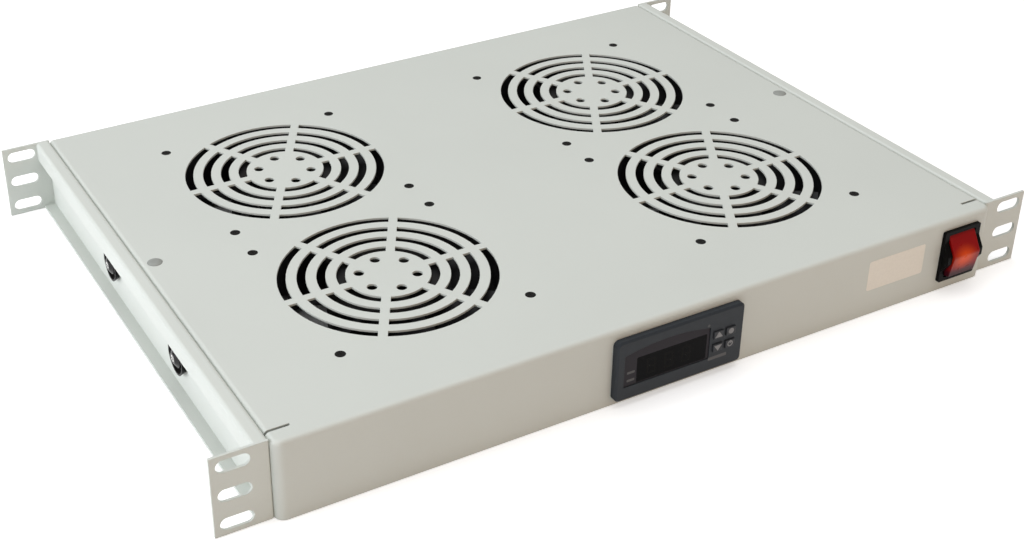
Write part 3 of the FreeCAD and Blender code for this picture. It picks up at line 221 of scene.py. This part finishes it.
def turnedMetal(name, colour=(0.62, 0.61, 0.59), roughness=0.22):
    # turned or ground metal: fine rings along the part
    metal = Finish(name, colour, roughness, 1.0)
    rings = metal.noise(0.3 * mm, 2.0, (0.15, 0.15, 1))
    metal.give("Roughness", roughness - 0.05 + 0.15 * rings)
    metal.give("Base Color", metal.mixed(rings, scaled(colour, 0.85), colour))
    metal.relief(rings, 0.008 * mm, 0.4)
    return metal


def crossRecess(finish, a, b):
    # a cross driven into a screw head, 1 in its arms; a and b run over the head from its middle
    far = (a * a + b * b).root()
    arms = (1 - a.abs().above(0.32 * mm, 0.06 * mm)).most(1 - b.abs().above(0.32 * mm, 0.06 * mm))
    return arms * (1 - far.above(1.5 * mm, 0.1 * mm))


def fanScrewBlack(name):
    # black oxide; folding both axes on the fan pitch brings the sixteen heads onto one another
    screw = Finish(name, (0.008, 0.008, 0.008), 0.45, Specular_IOR_Level=0.15)
    front, rear = middle("front_right_fan_frame"), middle("rear_right_fan_frame")
    across = ((screw.axis("X").abs() - front.x).abs() - 52.5 * mm)
    along = (((screw.axis("Y") - (front.y + rear.y) / 2).abs() - (rear.y - front.y) / 2).abs() - 52.5 * mm)
    recess = crossRecess(screw, across, along)
    # painted shade: the cross recess is coloured darker than the rest of the head
    screw.give("Base Color", screw.mixed(recess, (0.008, 0.008, 0.008), (0.003, 0.003, 0.003)))
    screw.give("Roughness", 0.40 + 0.16 * screw.noise(1.5 * mm))
    screw.relief(-recess, 0.6 * mm, 0.9, 0.1 * mm)
    return screw


def railScrewBlack(name):
    # glossy black raised head, its cross recess and a painted highlight: a bright metal patch in the middle
    screw = Finish(name, (0.006, 0.006, 0.006), 0.20, Specular_IOR_Level=0.25)
    low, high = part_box("rail_screws")
    along = (screw.axis("Y") - (low.y + high.y) / 2).abs() - 50 * mm
    up = screw.axis("Z") - (low.z + high.z) / 2
    recess = crossRecess(screw, along, up)
    # painted highlight: a bright metallic patch in the middle of the head, kept out of the recess
    wear_and_painted_highlight = (1 - (along * along + up * up).root().above(1.9 * mm, 0.5 * mm)) * (1 - recess)
    screw.give("Base Color", screw.mixed(wear_and_painted_highlight, (0.006, 0.006, 0.006), (0.62, 0.62, 0.60)))
    screw.give("Metallic", wear_and_painted_highlight)
    screw.give("Roughness", 0.18 + 0.10 * screw.noise(1.5 * mm))
    screw.relief(-recess, 0.6 * mm, 0.9, 0.15 * mm)
    return screw


def blackCasting(name):
    # die-cast frame under a thin black paint: pebbled, with dusty high spots
    paint = Finish(name, (0.016, 0.016, 0.017), 0.5, Specular_IOR_Level=0.2)
    dust = paint.noise(14 * mm, 4.0).above(0.58, 0.10)
    paint.give("Base Color", paint.mixed(dust * 0.25, (0.012, 0.012, 0.013), (0.050, 0.048, 0.046)))
    paint.give("Roughness", 0.46 + 0.22 * dust)
    paint.relief(paint.noise(0.6 * mm, 2.0), 0.05 * mm, 0.6, 0.3 * mm)
    return paint


def copperWinding(name):
    # varnished winding: fine turns round the shaft, amber over copper, with painted shade in the grooves
    # between turns
    coil = Finish(name, (0.30, 0.11, 0.04), 0.35, 0.55)
    turns = (coil.axis("Z") * (2 * math.pi / (0.5 * mm))).maths("SINE")
    # painted shade: darker in the grooves between turns, following the same wave as the relief
    coil.give("Base Color", coil.mixed(turns * 0.5 + 0.5, (0.16, 0.05, 0.02), (0.42, 0.17, 0.06)))
    coil.give("Roughness", 0.30 + 0.15 * coil.noise(2 * mm))
    coil.relief(turns, 0.08 * mm, 0.7)
    return coil


def circuitBoard(name):
    # green solder resist with copper runs showing through as paler lines
    board = Finish(name, (0.01, 0.12, 0.05), 0.3)
    runs = board.cells(3.2 * mm).above(0.45, 0.04)
    board.give("Base Color", board.mixed(runs, (0.012, 0.110, 0.045), (0.030, 0.200, 0.080)))
    board.give("Roughness", 0.26 + 0.12 * board.noise(4 * mm))
    board.relief(runs, 0.03 * mm, 0.5)
    return board


def rockerPlastic(name):
    # clear red plastic over a neon lamp: painted lamp glow, orange below the ridge, and painted shade, purple
    # and dark at the bottom
    look = {"red": (0.270, 0.0030, 0.0035), "deep": (0.050, 0.0040, 0.0090), "glow": (0.850, 0.095, 0.0090)}
    plastic = Finish(name, look["red"], 0.28, Specular_IOR_Level=0.12, Coat_Weight=0.08, Coat_Roughness=0.08)
    spot = middle("rocker")
    z = plastic.axis("Z") - spot.z
    dx = (plastic.axis("X") - (spot.x - 1.0 * mm)) / (7.5 * mm)
    dz = (z + 1.0 * mm) / (6.0 * mm)
    # painted glow of the lamp: an oval patch of orange round the middle
    near = 1 - (dx * dx + dz * dz).root().above(0.75, 0.7)
    # painted shade: darker and purpler towards the bottom
    tone = plastic.mixed(1 - z.above(-7.5 * mm, 3.0 * mm), look["red"], look["deep"])
    tone = plastic.mixed(near * (0.75 + 0.25 * plastic.noise(2 * mm)), tone, look["glow"])
    plastic.give("Base Color", tone)
    plastic.give("Roughness", 0.24 + 0.10 * plastic.noise(3 * mm))
    plastic.relief(plastic.noise(1.5 * mm), 0.01 * mm, 0.4, 0.4 * mm)
    return plastic


def smokedWindow(name):
    # smoked acrylic: a printed border, an unlit display of three digits behind its clear part
    low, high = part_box("display_window")
    inset = {"left": 7.6 * mm, "right": 1.6 * mm, "low": 0.6 * mm, "high": 6.2 * mm}
    border, mark = (0.040, 0.039, 0.046), (0.120, 0.125, 0.130)
    smoke, segment = (0.0012, 0.0010, 0.0012), (0.0060, 0.0058, 0.0040)
    digit = {"step": 10.5 * mm, "width": 5.4 * mm, "height": 9.0 * mm, "bar": 1.0 * mm,
             "fromLeft": 6 * mm, "fromLow": 3.2 * mm}
    window = Finish(name, smoke, 0.10, Specular_IOR_Level=0.05)
    clear = window.panel((low.x + inset["left"], low.z + inset["low"]),
                         (high.x - inset["right"], high.z - inset["high"]), 0.2 * mm, 0.8 * mm)
    wide, tall, bar = digit["width"], digit["height"], digit["bar"]
    left, base = low.x + inset["left"] + digit["fromLeft"], low.z + digit["fromLow"]
    strokes = ((0, 0, wide, bar), (0, (tall - bar) / 2, wide, bar), (0, tall - bar, wide, bar),
               (0, 0, bar, tall), (wide - bar, 0, bar, tall))
    digits = None
    for place in range(3):
        for x, z, width, height in strokes:
            corner = (left + digit["step"] * place + x, base + z)
            stroke = window.panel(corner, (corner[0] + width, corner[1] + height), 0.15 * mm)
            digits = stroke if digits is None else digits.most(stroke)
    lower, upper = (window.panel((low.x + 2.0 * mm, low.z + up), (low.x + 6.6 * mm, low.z + up + 1.4 * mm),
                                 0.15 * mm, 0.5 * mm) for up in (2.4 * mm, 7.0 * mm))
    printed = window.mixed(lower.most(upper), border, mark)
    window.give("Base Color", window.mixed(clear, printed, window.mixed(digits, smoke, segment)))
    window.give("Roughness", 0.38 - 0.28 * clear + 0.05 * window.noise(8 * mm))
    window.relief(window.noise(6 * mm), 0.01 * mm, 0.2, 0.25 * mm)
    return window


def bezelPlastic(name):
    # charcoal moulding with a bare printed strip under the keys and a small dark lamp above them
    colour = (0.026, 0.032, 0.039)
    bezel = mouldedPlastic(name, colour, 0.50, Specular_IOR_Level=0.22)
    first, third = middle("key_1"), middle("key_3")
    strip = bezel.panel((third.x - 5.0 * mm, third.z - 7.1 * mm),
                        (third.x + 6.4 * mm, third.z - 5.3 * mm), 0.2 * mm, 0.4 * mm)
    lamp = bezel.panel((first.x - 7.0 * mm, first.z + 6.0 * mm),
                       (first.x - 5.4 * mm, first.z + 7.6 * mm), 0.15 * mm, 0.8 * mm)
    base = bezel.mixed(bezel.noise(2.5 * mm, 3.0), scaled(colour, 0.9), scaled(colour, 1.12))
    bezel.give("Base Color", bezel.mixed(strip.most(lamp * 0.6), base, (0.105, 0.107, 0.110)))
    return bezel


def keyPlastic(name, node, sign):
    # dark key with a pale printed sign: a triangle up or down, a dot, or a bar in a ring
    colour = (0.034, 0.038, 0.044)
    key = mouldedPlastic(name, colour, 0.5, Specular_IOR_Level=0.25)
    spot = middle(node)
    x, z = key.axis("X") - spot.x, key.axis("Z") - spot.z
    far, soft = (x * x + z * z).root(), 0.1 * mm
    if sign in ("up", "down"):
        rise = z if sign == "up" else -z
        mask = (1 - (x.abs() * 1.4 + rise).above(1.9 * mm, 0.12 * mm)) * rise.above(-1.4 * mm, 0.12 * mm)
    elif sign == "power":
        ring = far.above(1.0 * mm, soft) * (1 - far.above(1.7 * mm, soft))
        stroke = (1 - x.abs().above(0.28 * mm, 0.08 * mm)) * z.above(0.0, soft)
        mask = ring.most(stroke * (1 - z.above(2.0 * mm, soft)))
    else:
        mask = 1 - far.above(1.6 * mm, 0.1 * mm)
    key.give("Base Color", key.mixed(mask, colour, (0.24, 0.25, 0.26)))
    return key


def insulation(name, colour):
    # flexible lead covering: satin, with faint scuffs
    cover = Finish(name, colour, 0.45)
    scuff = cover.noise(1.2 * mm, 3.0)
    cover.give("Base Color", cover.mixed(scuff, scaled(colour, 0.8), scaled(colour, 1.15)))
    cover.give("Roughness", 0.38 + 0.16 * scuff)
    cover.relief(scuff, 0.03 * mm, 0.4)
    return cover


def foilPaper(name, colour):
    # blank matt label foil, its surface very slightly mottled
    foil = Finish(name, colour, 0.5, Specular_IOR_Level=0.3)
    mottle = foil.noise(1.5 * mm, 3.0)
    foil.give("Base Color", foil.mixed(mottle, scaled(colour, 0.94), scaled(colour, 1.04)))
    foil.give("Roughness", 0.44 + 0.14 * mottle)
    foil.relief(mottle, 0.02 * mm, 0.4)
    return foil


finishes = {
    "tray_paint": powderCoat("trayCoat"),
    # the rails carry the tray's paint made a little lighter: painted light
    "rail_paint": powderCoat("railCoatPaintedLight", 1.03),
    "zinc_steel": zincPlate("zincPlate"),
    "cup_black": mouldedPlastic("cupPlastic", (0.004, 0.004, 0.004), 0.30, Specular_IOR_Level=0.08),
    "black_screw": fanScrewBlack("fanScrewBlack"),
    "fan_casting": blackCasting("fanCasting"),
    "rotor_black": mouldedPlastic("rotorPlastic", (0.012, 0.012, 0.013), 0.42, 0.5 * mm,
                                  Specular_IOR_Level=0.2),
    "shaft_steel": turnedMetal("shaftSteel"),
    "bronze": turnedMetal("bearingBronze", (0.46, 0.29, 0.12), 0.40),
    "stator_iron": copperWinding("statorWinding"),
    "bezel_plastic": bezelPlastic("bezelPlastic"),
    "window_dark": smokedWindow("smokedWindow"),
    "board_green": circuitBoard("circuitBoard"),
    "relay_blue": mouldedPlastic("relayCase", (0.012, 0.060, 0.300), 0.34),
    "terminal_green": mouldedPlastic("terminalPlastic", (0.020, 0.190, 0.060), 0.40),
    "clip_orange": mouldedPlastic("clipPlastic", (0.620, 0.150, 0.020), 0.42),
    "switch_black": mouldedPlastic("blackPlastic", (0.003, 0.003, 0.003), 0.36, edge=0.3 * mm,
                                   Specular_IOR_Level=0.06),
    "rocker_red": rockerPlastic("rockerPlastic"),
    "blade_brass": turnedMetal("tinnedBrass", (0.66, 0.60, 0.46), 0.26),
}
special = {
    # the rivets carry the tray's paint darkened to about half: painted shade on their heads
    "rail_screws": railScrewBlack("railScrewBlack"), "brace_rivets": powderCoat("rivetCoatPaintedShade", 0.48),
    "key_1": keyPlastic("keyUp", "key_1", "up"), "key_2": keyPlastic("keyDot", "key_2", "dot"),
    "key_3": keyPlastic("keyDown", "key_3", "down"), "key_4": keyPlastic("keyPower", "key_4", "power"),
}
slotOf = {part["node"]: part["material_slot"] for part in frame["record"]["subparts"]}
for name, thing in nodes.items():
    finish = special.get(name) or finishes[slotOf[name]]
    thing.data.materials.clear()
    thing.data.materials.append(finish.material)
print("finishes on", len(nodes), "nodes")


def added(thing, body="tray"):
    bpy.context.scene.collection.objects.link(thing)
    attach(thing, body)
    return thing


def solidOf(name, shells, finish):
    # one mesh piece of separate closed shells, each a (points, faces) pair
    points, faces = [], []
    for shell, rings in shells:
        faces += [[corner + len(points) for corner in face] for face in rings]
        points += [tuple(point) for point in shell]
    mesh = bpy.data.meshes.new(name)
    mesh.from_pydata(points, [], faces)
    mesh.materials.append(finish.material)
    return added(bpy.data.objects.new(name, mesh))


def slab(foot, across, up, size, thick, corner):
    # a rounded rectangle pushed out along across x up; its edge runs round four quarter circles
    turns = np.linspace(0, 2 * np.pi, 33)[:-1] + np.pi / 64
    u = np.sign(np.cos(turns)) * (size[0] / 2 - corner) + corner * np.cos(turns)
    v = np.sign(np.sin(turns)) * (size[1] / 2 - corner) + corner * np.sin(turns)
    across, up = np.array(across, float), np.array(up, float)
    rim = np.array(foot) + u[:, None] * across + v[:, None] * up
    return swept([rim, rim + np.cross(across, up) * thick], False)


def swept(rings, closed):
    # walls between equal rings of points, with end caps unless the last ring meets the first
    count = len(rings[0])
    ring, following = np.arange(count), np.roll(np.arange(count), -1)
    faces = []
    for i in range(len(rings) - (0 if closed else 1)):
        here, there = i * count, (i + 1) % len(rings) * count
        walls = np.stack([ring + here, following + here, following + there, ring + there], 1)
        faces += walls.tolist()
    if not closed:
        faces += [ring[::-1].tolist(), (ring + (len(rings) - 1) * count).tolist()]
    return np.vstack(rings), faces


def turned(at, axis, profile, sides=24, closed=False):
    # a profile of (radius, distance along the axis) spun about it
    axis = Vector(axis).normalized()
    first = axis.orthogonal().normalized()
    second = axis.cross(first)
    turns = np.linspace(0, 2 * np.pi, sides + 1)[:-1]
    circle = np.outer(np.cos(turns), first) + np.outer(np.sin(turns), second)
    rings = [np.array(at) + circle * radius + np.array(axis) * along for radius, along in profile]
    return swept(rings, closed)


def collar(at, axis, inner, outer, start, end, sides=24):
    # a ring or nut: a square profile that closes on itself
    profile = [(inner, start), (outer, start), (outer, end), (inner, end)]
    return turned(at, axis, profile, sides, True)


sideways, upwards, forwards, backwards = (1, 0, 0), (0, 0, 1), (0, -1, 0), (0, 1, 0)
label = {"size": (39 * mm, 18 * mm), "corner": 1.2 * mm, "thick": 0.12 * mm, "x": 147 * mm, "z": 2.8 * mm,
         "colour": (0.850, 0.820, 0.740)}
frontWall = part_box("tray_housing")[0].y
labelSlab = slab((label["x"], frontWall, label["z"]), sideways, upwards, label["size"], label["thick"],
                 label["corner"])
solidOf("blankLabel", [labelSlab], foilPaper("labelFoil", label["colour"]))

# junction block on the cross brace: the fans' leads and the thermostat's output meet in its six ways
block = {"ways": 6, "pitch": 8 * mm, "cell": (7.4 * mm, 12 * mm), "depth": 11 * mm, "corner": 1.4 * mm,
         "z": 10 * mm, "baseHeight": 8 * mm, "baseThick": 4 * mm, "sink": 0.05 * mm}
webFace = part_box("cross_brace")[0].y
wayAt = [(way - (block["ways"] - 1) / 2) * block["pitch"] for way in range(block["ways"])]
ivory = mouldedPlastic("blockPlastic", (0.62, 0.61, 0.56), 0.45)
zinc, brass = finishes["zinc_steel"], finishes["blade_brass"]
blockBase = slab((0, webFace - block["sink"], block["z"]), sideways, upwards,
                 (block["ways"] * block["pitch"], block["baseHeight"]), block["baseThick"], 1 * mm)
blockCells = [slab((x, webFace - block["baseThick"] - 2 * block["sink"], block["z"]), sideways, upwards,
                   block["cell"], block["depth"] - block["baseThick"], block["corner"]) for x in wayAt]
solidOf("junctionBlock", [blockBase] + blockCells, ivory)
screwFace = webFace - block["depth"] - 2 * block["sink"]
screwHead = [(1.9 * mm, 0), (1.9 * mm, 0.7 * mm), (1.5 * mm, 1.0 * mm)]
blockScrews = [turned((x, screwFace, block["z"]), forwards, screwHead) for x in wayAt]
solidOf("junctionScrews", blockScrews, zinc)

# earth stud in the rear wall with its nut, and the ring terminal under the nut
stud = {"x": 188 * mm, "z": 0.0, "radius": 2 * mm, "length": 13 * mm, "chamfer": 0.5 * mm, "play": 0.05 * mm,
        "wall": 1.2 * mm, "ring": (4.2 * mm, 1.2 * mm, 2.0 * mm), "nut": (4 * mm, 2.2 * mm, 5.4 * mm)}
studFoot = (stud["x"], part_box("tray_housing")[1].y - stud["wall"], stud["z"])
studBore = stud["radius"] + stud["play"]
studProfile = [(stud["radius"], 0), (stud["radius"], stud["length"] - stud["chamfer"]),
               (stud["radius"] - stud["chamfer"], stud["length"])]
solidOf("earthStud", [turned(studFoot, forwards, studProfile)], zinc)
solidOf("earthNut", [collar(studFoot, forwards, studBore, *stud["nut"], sides=6)], zinc)
solidOf("earthRing", [collar(studFoot, forwards, studBore, *stud["ring"])], brass)
print("block and earth point made")


def lead(name, route, thickness, finish):
    # a held wire: one smooth line through listed places in millimetres
    curve = bpy.data.curves.new(name, "CURVE")
    curve.dimensions, curve.use_fill_caps = "3D", True
    curve.bevel_depth, curve.bevel_resolution = thickness / 2, 2
    line = curve.splines.new("NURBS")
    line.points.add(len(route) - 1)
    line.points.foreach_set("co", [value for x, y, z in route for value in (x * mm, y * mm, z * mm, 1.0)])
    line.order_u, line.use_endpoint_u, line.resolution_u = 3, True, 6
    curve.materials.append(finish.material)
    return added(bpy.data.objects.new(name, curve))


brown, blue = insulation("brownLead", (0.080, 0.028, 0.012)), insulation("blueLead", (0.010, 0.050, 0.300))
earthGreen = insulation("greenLead", (0.080, 0.260, 0.020))
black = insulation("blackLead", (0.018, 0.018, 0.018))
leadThick = {"mains": 2.4 * mm, "control": 2.0 * mm, "probe": 2.2 * mm, "fan": 1.4 * mm}
ways = [x / mm for x in wayAt]
into = webFace / mm - 8
under = (block["z"] - block["cell"][1] / 2) / mm

# inlet to switch, and inlet to earth point, along the right side
inletLeads = {
    "liveLead": (brown, [(143, 299, -2), (143, 291, -3), (158, 287, -9), (179, 283, -10), (184, 262, -9),
                         (184, 160, -8), (184, 70, -8), (186.3, 42, -7), (186.3, 26, -7)]),
    "neutralLead": (blue, [(157, 299, -2), (157, 292, -3), (167, 289, -13), (184, 284, -14), (189, 262, -13),
                           (189, 160, -12), (189, 70, -12), (196.3, 42, -8), (196.3, 26, -7)]),
    "earthLead": (earthGreen, [(150, 299, 2), (150, 290, 2), (168, 288, 1), (184, 296, 0), (188, 308, -4.5),
                               (188, 323.6, -5.6)]),
}
for name, (finish, route) in inletLeads.items():
    lead(name, route, leadThick["mains"], finish)

# switch to thermostat, along the front between the fan and the wall
for name, x, z, end, finish in (("switchedLive", 186.3, 7.5, 22, brown),
                                ("switchedNeutral", 196.3, 3.5, 16, blue)):
    lead(name, [(x, 26, 7), (x - 1, 31, z), (x - 20, 31.2, z), (120, 31.2, z), (60, 31.2, z), (44.5, 31.2, z),
                (43.1, 42, z - 5), (43.1, 60, z - 7), (43, 76, z - 8), (end + 6, 80, z - 8), (end, 74, -1),
                (end, 63.5, -1)], leadThick["control"], finish)

# thermostat to the block's middle ways
for name, x, way, finish in (("fanFeedLive", 8, 3, brown), ("fanFeedNeutral", 0, 2, blue)):
    lead(name, [(x, 63.5, -1), (x, 72, -1), (x, 90, -8), (ways[way], 120, -10), (ways[way], 146, -8),
                (ways[way], into, -4), (ways[way], into, under + 1)], leadThick["control"], finish)

# two leads from each fan; each entry is row, place of exit, way on the left and right, and shift in the way
fanLeads = (("front", 128.0, 9, 0, 5, 0), ("front", 129.6, 10.6, 1, 4, -1.5),
            ("rear", 196.0, 9, 1, 4, 1.5), ("rear", 197.6, 10.6, 2, 3, 1.9))
for side, name in ((-1, "left"), (1, "right")):
    for wire, (row, y, drop, leftWay, rightWay, shift) in enumerate(fanLeads):
        x, z = ways[leftWay if side < 0 else rightWay] + shift * side, -drop
        if row == "front":
            turn, middleRoute = 8, [(side * 24, 148, z - 2)]
        else:
            turn, middleRoute = -8, [(side * 30, 172, z - 3), (side * 18, 158, z - 2)]
        start = [(side * 46, y, z), (side * 40, y, z), (side * 36, y + turn, z - 1)]
        finalRoute = [(x, into - 1, z + 3), (x, into, under + 1)]
        lead(f"{name}_{row}_fanLead_{wire}", start + middleRoute + finalRoute, leadThick["fan"], black)

# temperature probe beside the front left fan, held to the top sheet by a clip
probe = {"x": -38, "y": 86, "z": 12, "length": 26, "radius": 3, "clipAt": 12, "clipBelow": 1.5}
tube = [(0.4, 0), (2.4, 0.3), (probe["radius"], 1), (probe["radius"], probe["length"] - 1),
        (2.4, probe["length"]), (1.2, probe["length"])]
probeFoot = (probe["x"] * mm, probe["y"] * mm, probe["z"] * mm)
probeTube = turned(probeFoot, backwards, [(radius * mm, along * mm) for radius, along in tube])
solidOf("temperatureProbe", [probeTube], turnedMetal("probeSteel", (0.60, 0.60, 0.60), 0.3))
lead("probeLead", [(-10, 63.5, -1), (-10, 74, -2), (-18, 84, -4), (-20, 112, 4), (-28, 126, 11),
                   (-37, 124, 12), (probe["x"], probe["y"] + probe["length"] - 0.5, probe["z"])],
     leadThick["probe"], black)
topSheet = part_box("cross_brace")[1].z
clipFoot = (probe["x"] * mm, (probe["y"] + probe["clipAt"]) * mm, topSheet - 0.05 * mm)
clipHeight = topSheet - (probe["z"] - probe["radius"] - probe["clipBelow"]) * mm
probeClip = slab(clipFoot, sideways, forwards, (10 * mm, 8 * mm), clipHeight, 1.5 * mm)
solidOf("probeClip", [probeClip], ivory)

# insulated receptacles on the blade terminals that the leads reach
receptacle = {"size": (7.6 * mm, 2.8 * mm), "length": 9 * mm, "corner": 1.0 * mm}
switchBlades = [(x, 20.5, z) for x in (186.3, 196.3) for z in (-7, 7)]
inletBlades = [(143, 295.5, -2), (157, 295.5, -2), (150, 295.5, 2)]
sleeves = [slab([value * mm for value in foot], sideways, (0, 0, -1), receptacle["size"],
                receptacle["length"], receptacle["corner"]) for foot in switchBlades + inletBlades]
solidOf("receptacles", sleeves, mouldedPlastic("sleevePlastic", (0.30, 0.02, 0.02), 0.4))
print("wiring made")

eye = {"at": (-0.4097, -0.5136, 0.4471), "azimuth": 28.02, "elevation": 28.99, "roll": -0.67,
       "lens": 55.26, "shiftX": 0.0898, "shiftY": -0.0796}


def aim(place, azimuth, elevation, roll):
    # forward looks down by the elevation, to the right of +Y by the azimuth
    az, el, turn = (math.radians(a) for a in (azimuth, elevation, roll))
    forward = Vector((math.sin(az) * math.cos(el), math.cos(az) * math.cos(el), -math.sin(el)))
    right = Vector((math.cos(az), -math.sin(az), 0))
    up = right.cross(forward)
    tiltedRight = math.cos(turn) * right + math.sin(turn) * up
    tiltedUp = math.cos(turn) * up - math.sin(turn) * right
    pose = Matrix((tiltedRight, tiltedUp, -forward)).transposed().to_4x4()
    pose.translation = place
    return pose


cameraData = bpy.data.cameras.new("mainCamera")
cameraData.lens, cameraData.sensor_width, cameraData.clip_start = eye["lens"], 36, 0.01
cameraData.shift_x, cameraData.shift_y = eye["shiftX"], eye["shiftY"]
camera = bpy.data.objects.new("mainCamera", cameraData)
camera.matrix_world = aim(eye["at"], eye["azimuth"], eye["elevation"], eye["roll"])
bpy.context.scene.collection.objects.link(camera)
bpy.context.scene.camera = camera

stage = {"floor": 0.86, "lift": 0.45, "size": 12.0, "sky": 0.386, "skyColour": (1.0, 0.939, 0.879)}
floorFinish = Finish("floorPaint", (stage["floor"],) * 3, 0.9, Specular_IOR_Level=0.1)
rays = floorFinish.tree.nodes.new("ShaderNodeLightPath")
seen = Sig(floorFinish, rays.outputs["Is Camera Ray"]).most(Sig(floorFinish, rays.outputs["Is Glossy Ray"]))
# the lift stops under the tray, where the floor lies in shadow
across = floorFinish.axis("X").abs().above(cadBox[1].x - 40 * mm, 30 * mm)
along = (floorFinish.axis("Y") - (cadBox[0].y + cadBox[1].y) / 2).abs()
outside = across.most(along.above((cadBox[1].y - cadBox[0].y) / 2 - 30 * mm, 20 * mm))
glow = floorFinish.add("ShaderNodeEmission", {},
                       {"Color": (1, 1, 1, 1), "Strength": seen * outside * stage["lift"]})
paint = Sig(floorFinish, floorFinish.shader.outputs[0])
both = floorFinish.add("ShaderNodeAddShader", {}, {0: paint, 1: glow})
floorFinish.feed(floorFinish.tree.nodes["Material Output"].inputs["Surface"], both)
half, floorLevel = stage["size"] / 2, cadBox[0].z - 0.2 * mm
floorMesh = bpy.data.meshes.new("floor")
floorCorners = [(x * half, y * half, floorLevel) for x, y in ((-1, -1), (1, -1), (1, 1), (-1, 1))]
floorMesh.from_pydata(floorCorners, [], [(0, 1, 2, 3)])
floorMesh.materials.append(floorFinish.material)
floor = bpy.data.objects.new("floor", floorMesh)
bpy.context.scene.collection.objects.link(floor)

world = bpy.data.worlds.new("studio")
bpy.context.scene.world = world
world.use_nodes = True
tree = world.node_tree
path = tree.nodes.new("ShaderNodeLightPath")
eitherRay = tree.nodes.new("ShaderNodeMath")
eitherRay.operation = "MAXIMUM"
tree.links.new(path.outputs["Is Camera Ray"], eitherRay.inputs[0])
tree.links.new(path.outputs["Is Transmission Ray"], eitherRay.inputs[1])
level, tint = tree.nodes.new("ShaderNodeMapRange"), tree.nodes.new("ShaderNodeMix")
level.inputs["To Min"].default_value, level.inputs["To Max"].default_value = stage["sky"], 1.0
tint.data_type = "RGBA"
tint.inputs[6].default_value, tint.inputs[7].default_value = (*stage["skyColour"], 1.0), (1, 1, 1, 1)
tree.links.new(eitherRay.outputs[0], level.inputs["Value"])
tree.links.new(eitherRay.outputs[0], tint.inputs[0])
tree.links.new(level.outputs[0], tree.nodes["Background"].inputs["Strength"])
tree.links.new(tint.outputs[2], tree.nodes["Background"].inputs["Color"])

lamps = {
    "overheadSoftbox": {"at": (0.04, 0.24, 1.5), "aimAt": (0, 0.16, 0), "size": 1.4, "power": 13.8,
                        "colour": (0.935, 0.965, 1.0)},
    "leftSoftbox": {"at": (-1.5, 0.22, 0.45), "aimAt": (-0.2, 0.16, 0), "size": 0.9, "power": 14.2,
                    "colour": (0.923, 0.944, 1.0)},
    "frontFill": {"at": (0.3, -1.6, 0.25), "aimAt": (0, 0, 0), "size": 0.8, "power": 3.45,
                  "colour": (1.0, 0.44, 0.06)},
}
for name, lamp in lamps.items():
    data = bpy.data.lights.new(name, "AREA")
    data.shape, data.size = "SQUARE", lamp["size"]
    data.energy, data.color = lamp["power"], lamp["colour"]
    light = bpy.data.objects.new(name, data)
    direction = Vector(lamp["aimAt"]) - Vector(lamp["at"])
    light.matrix_world = direction.to_track_quat("-Z", "Y").to_matrix().to_4x4()
    light.location = lamp["at"]
    bpy.context.scene.collection.objects.link(light)
bpy.context.scene.view_settings.view_transform = "Standard"
print("stage and light set")
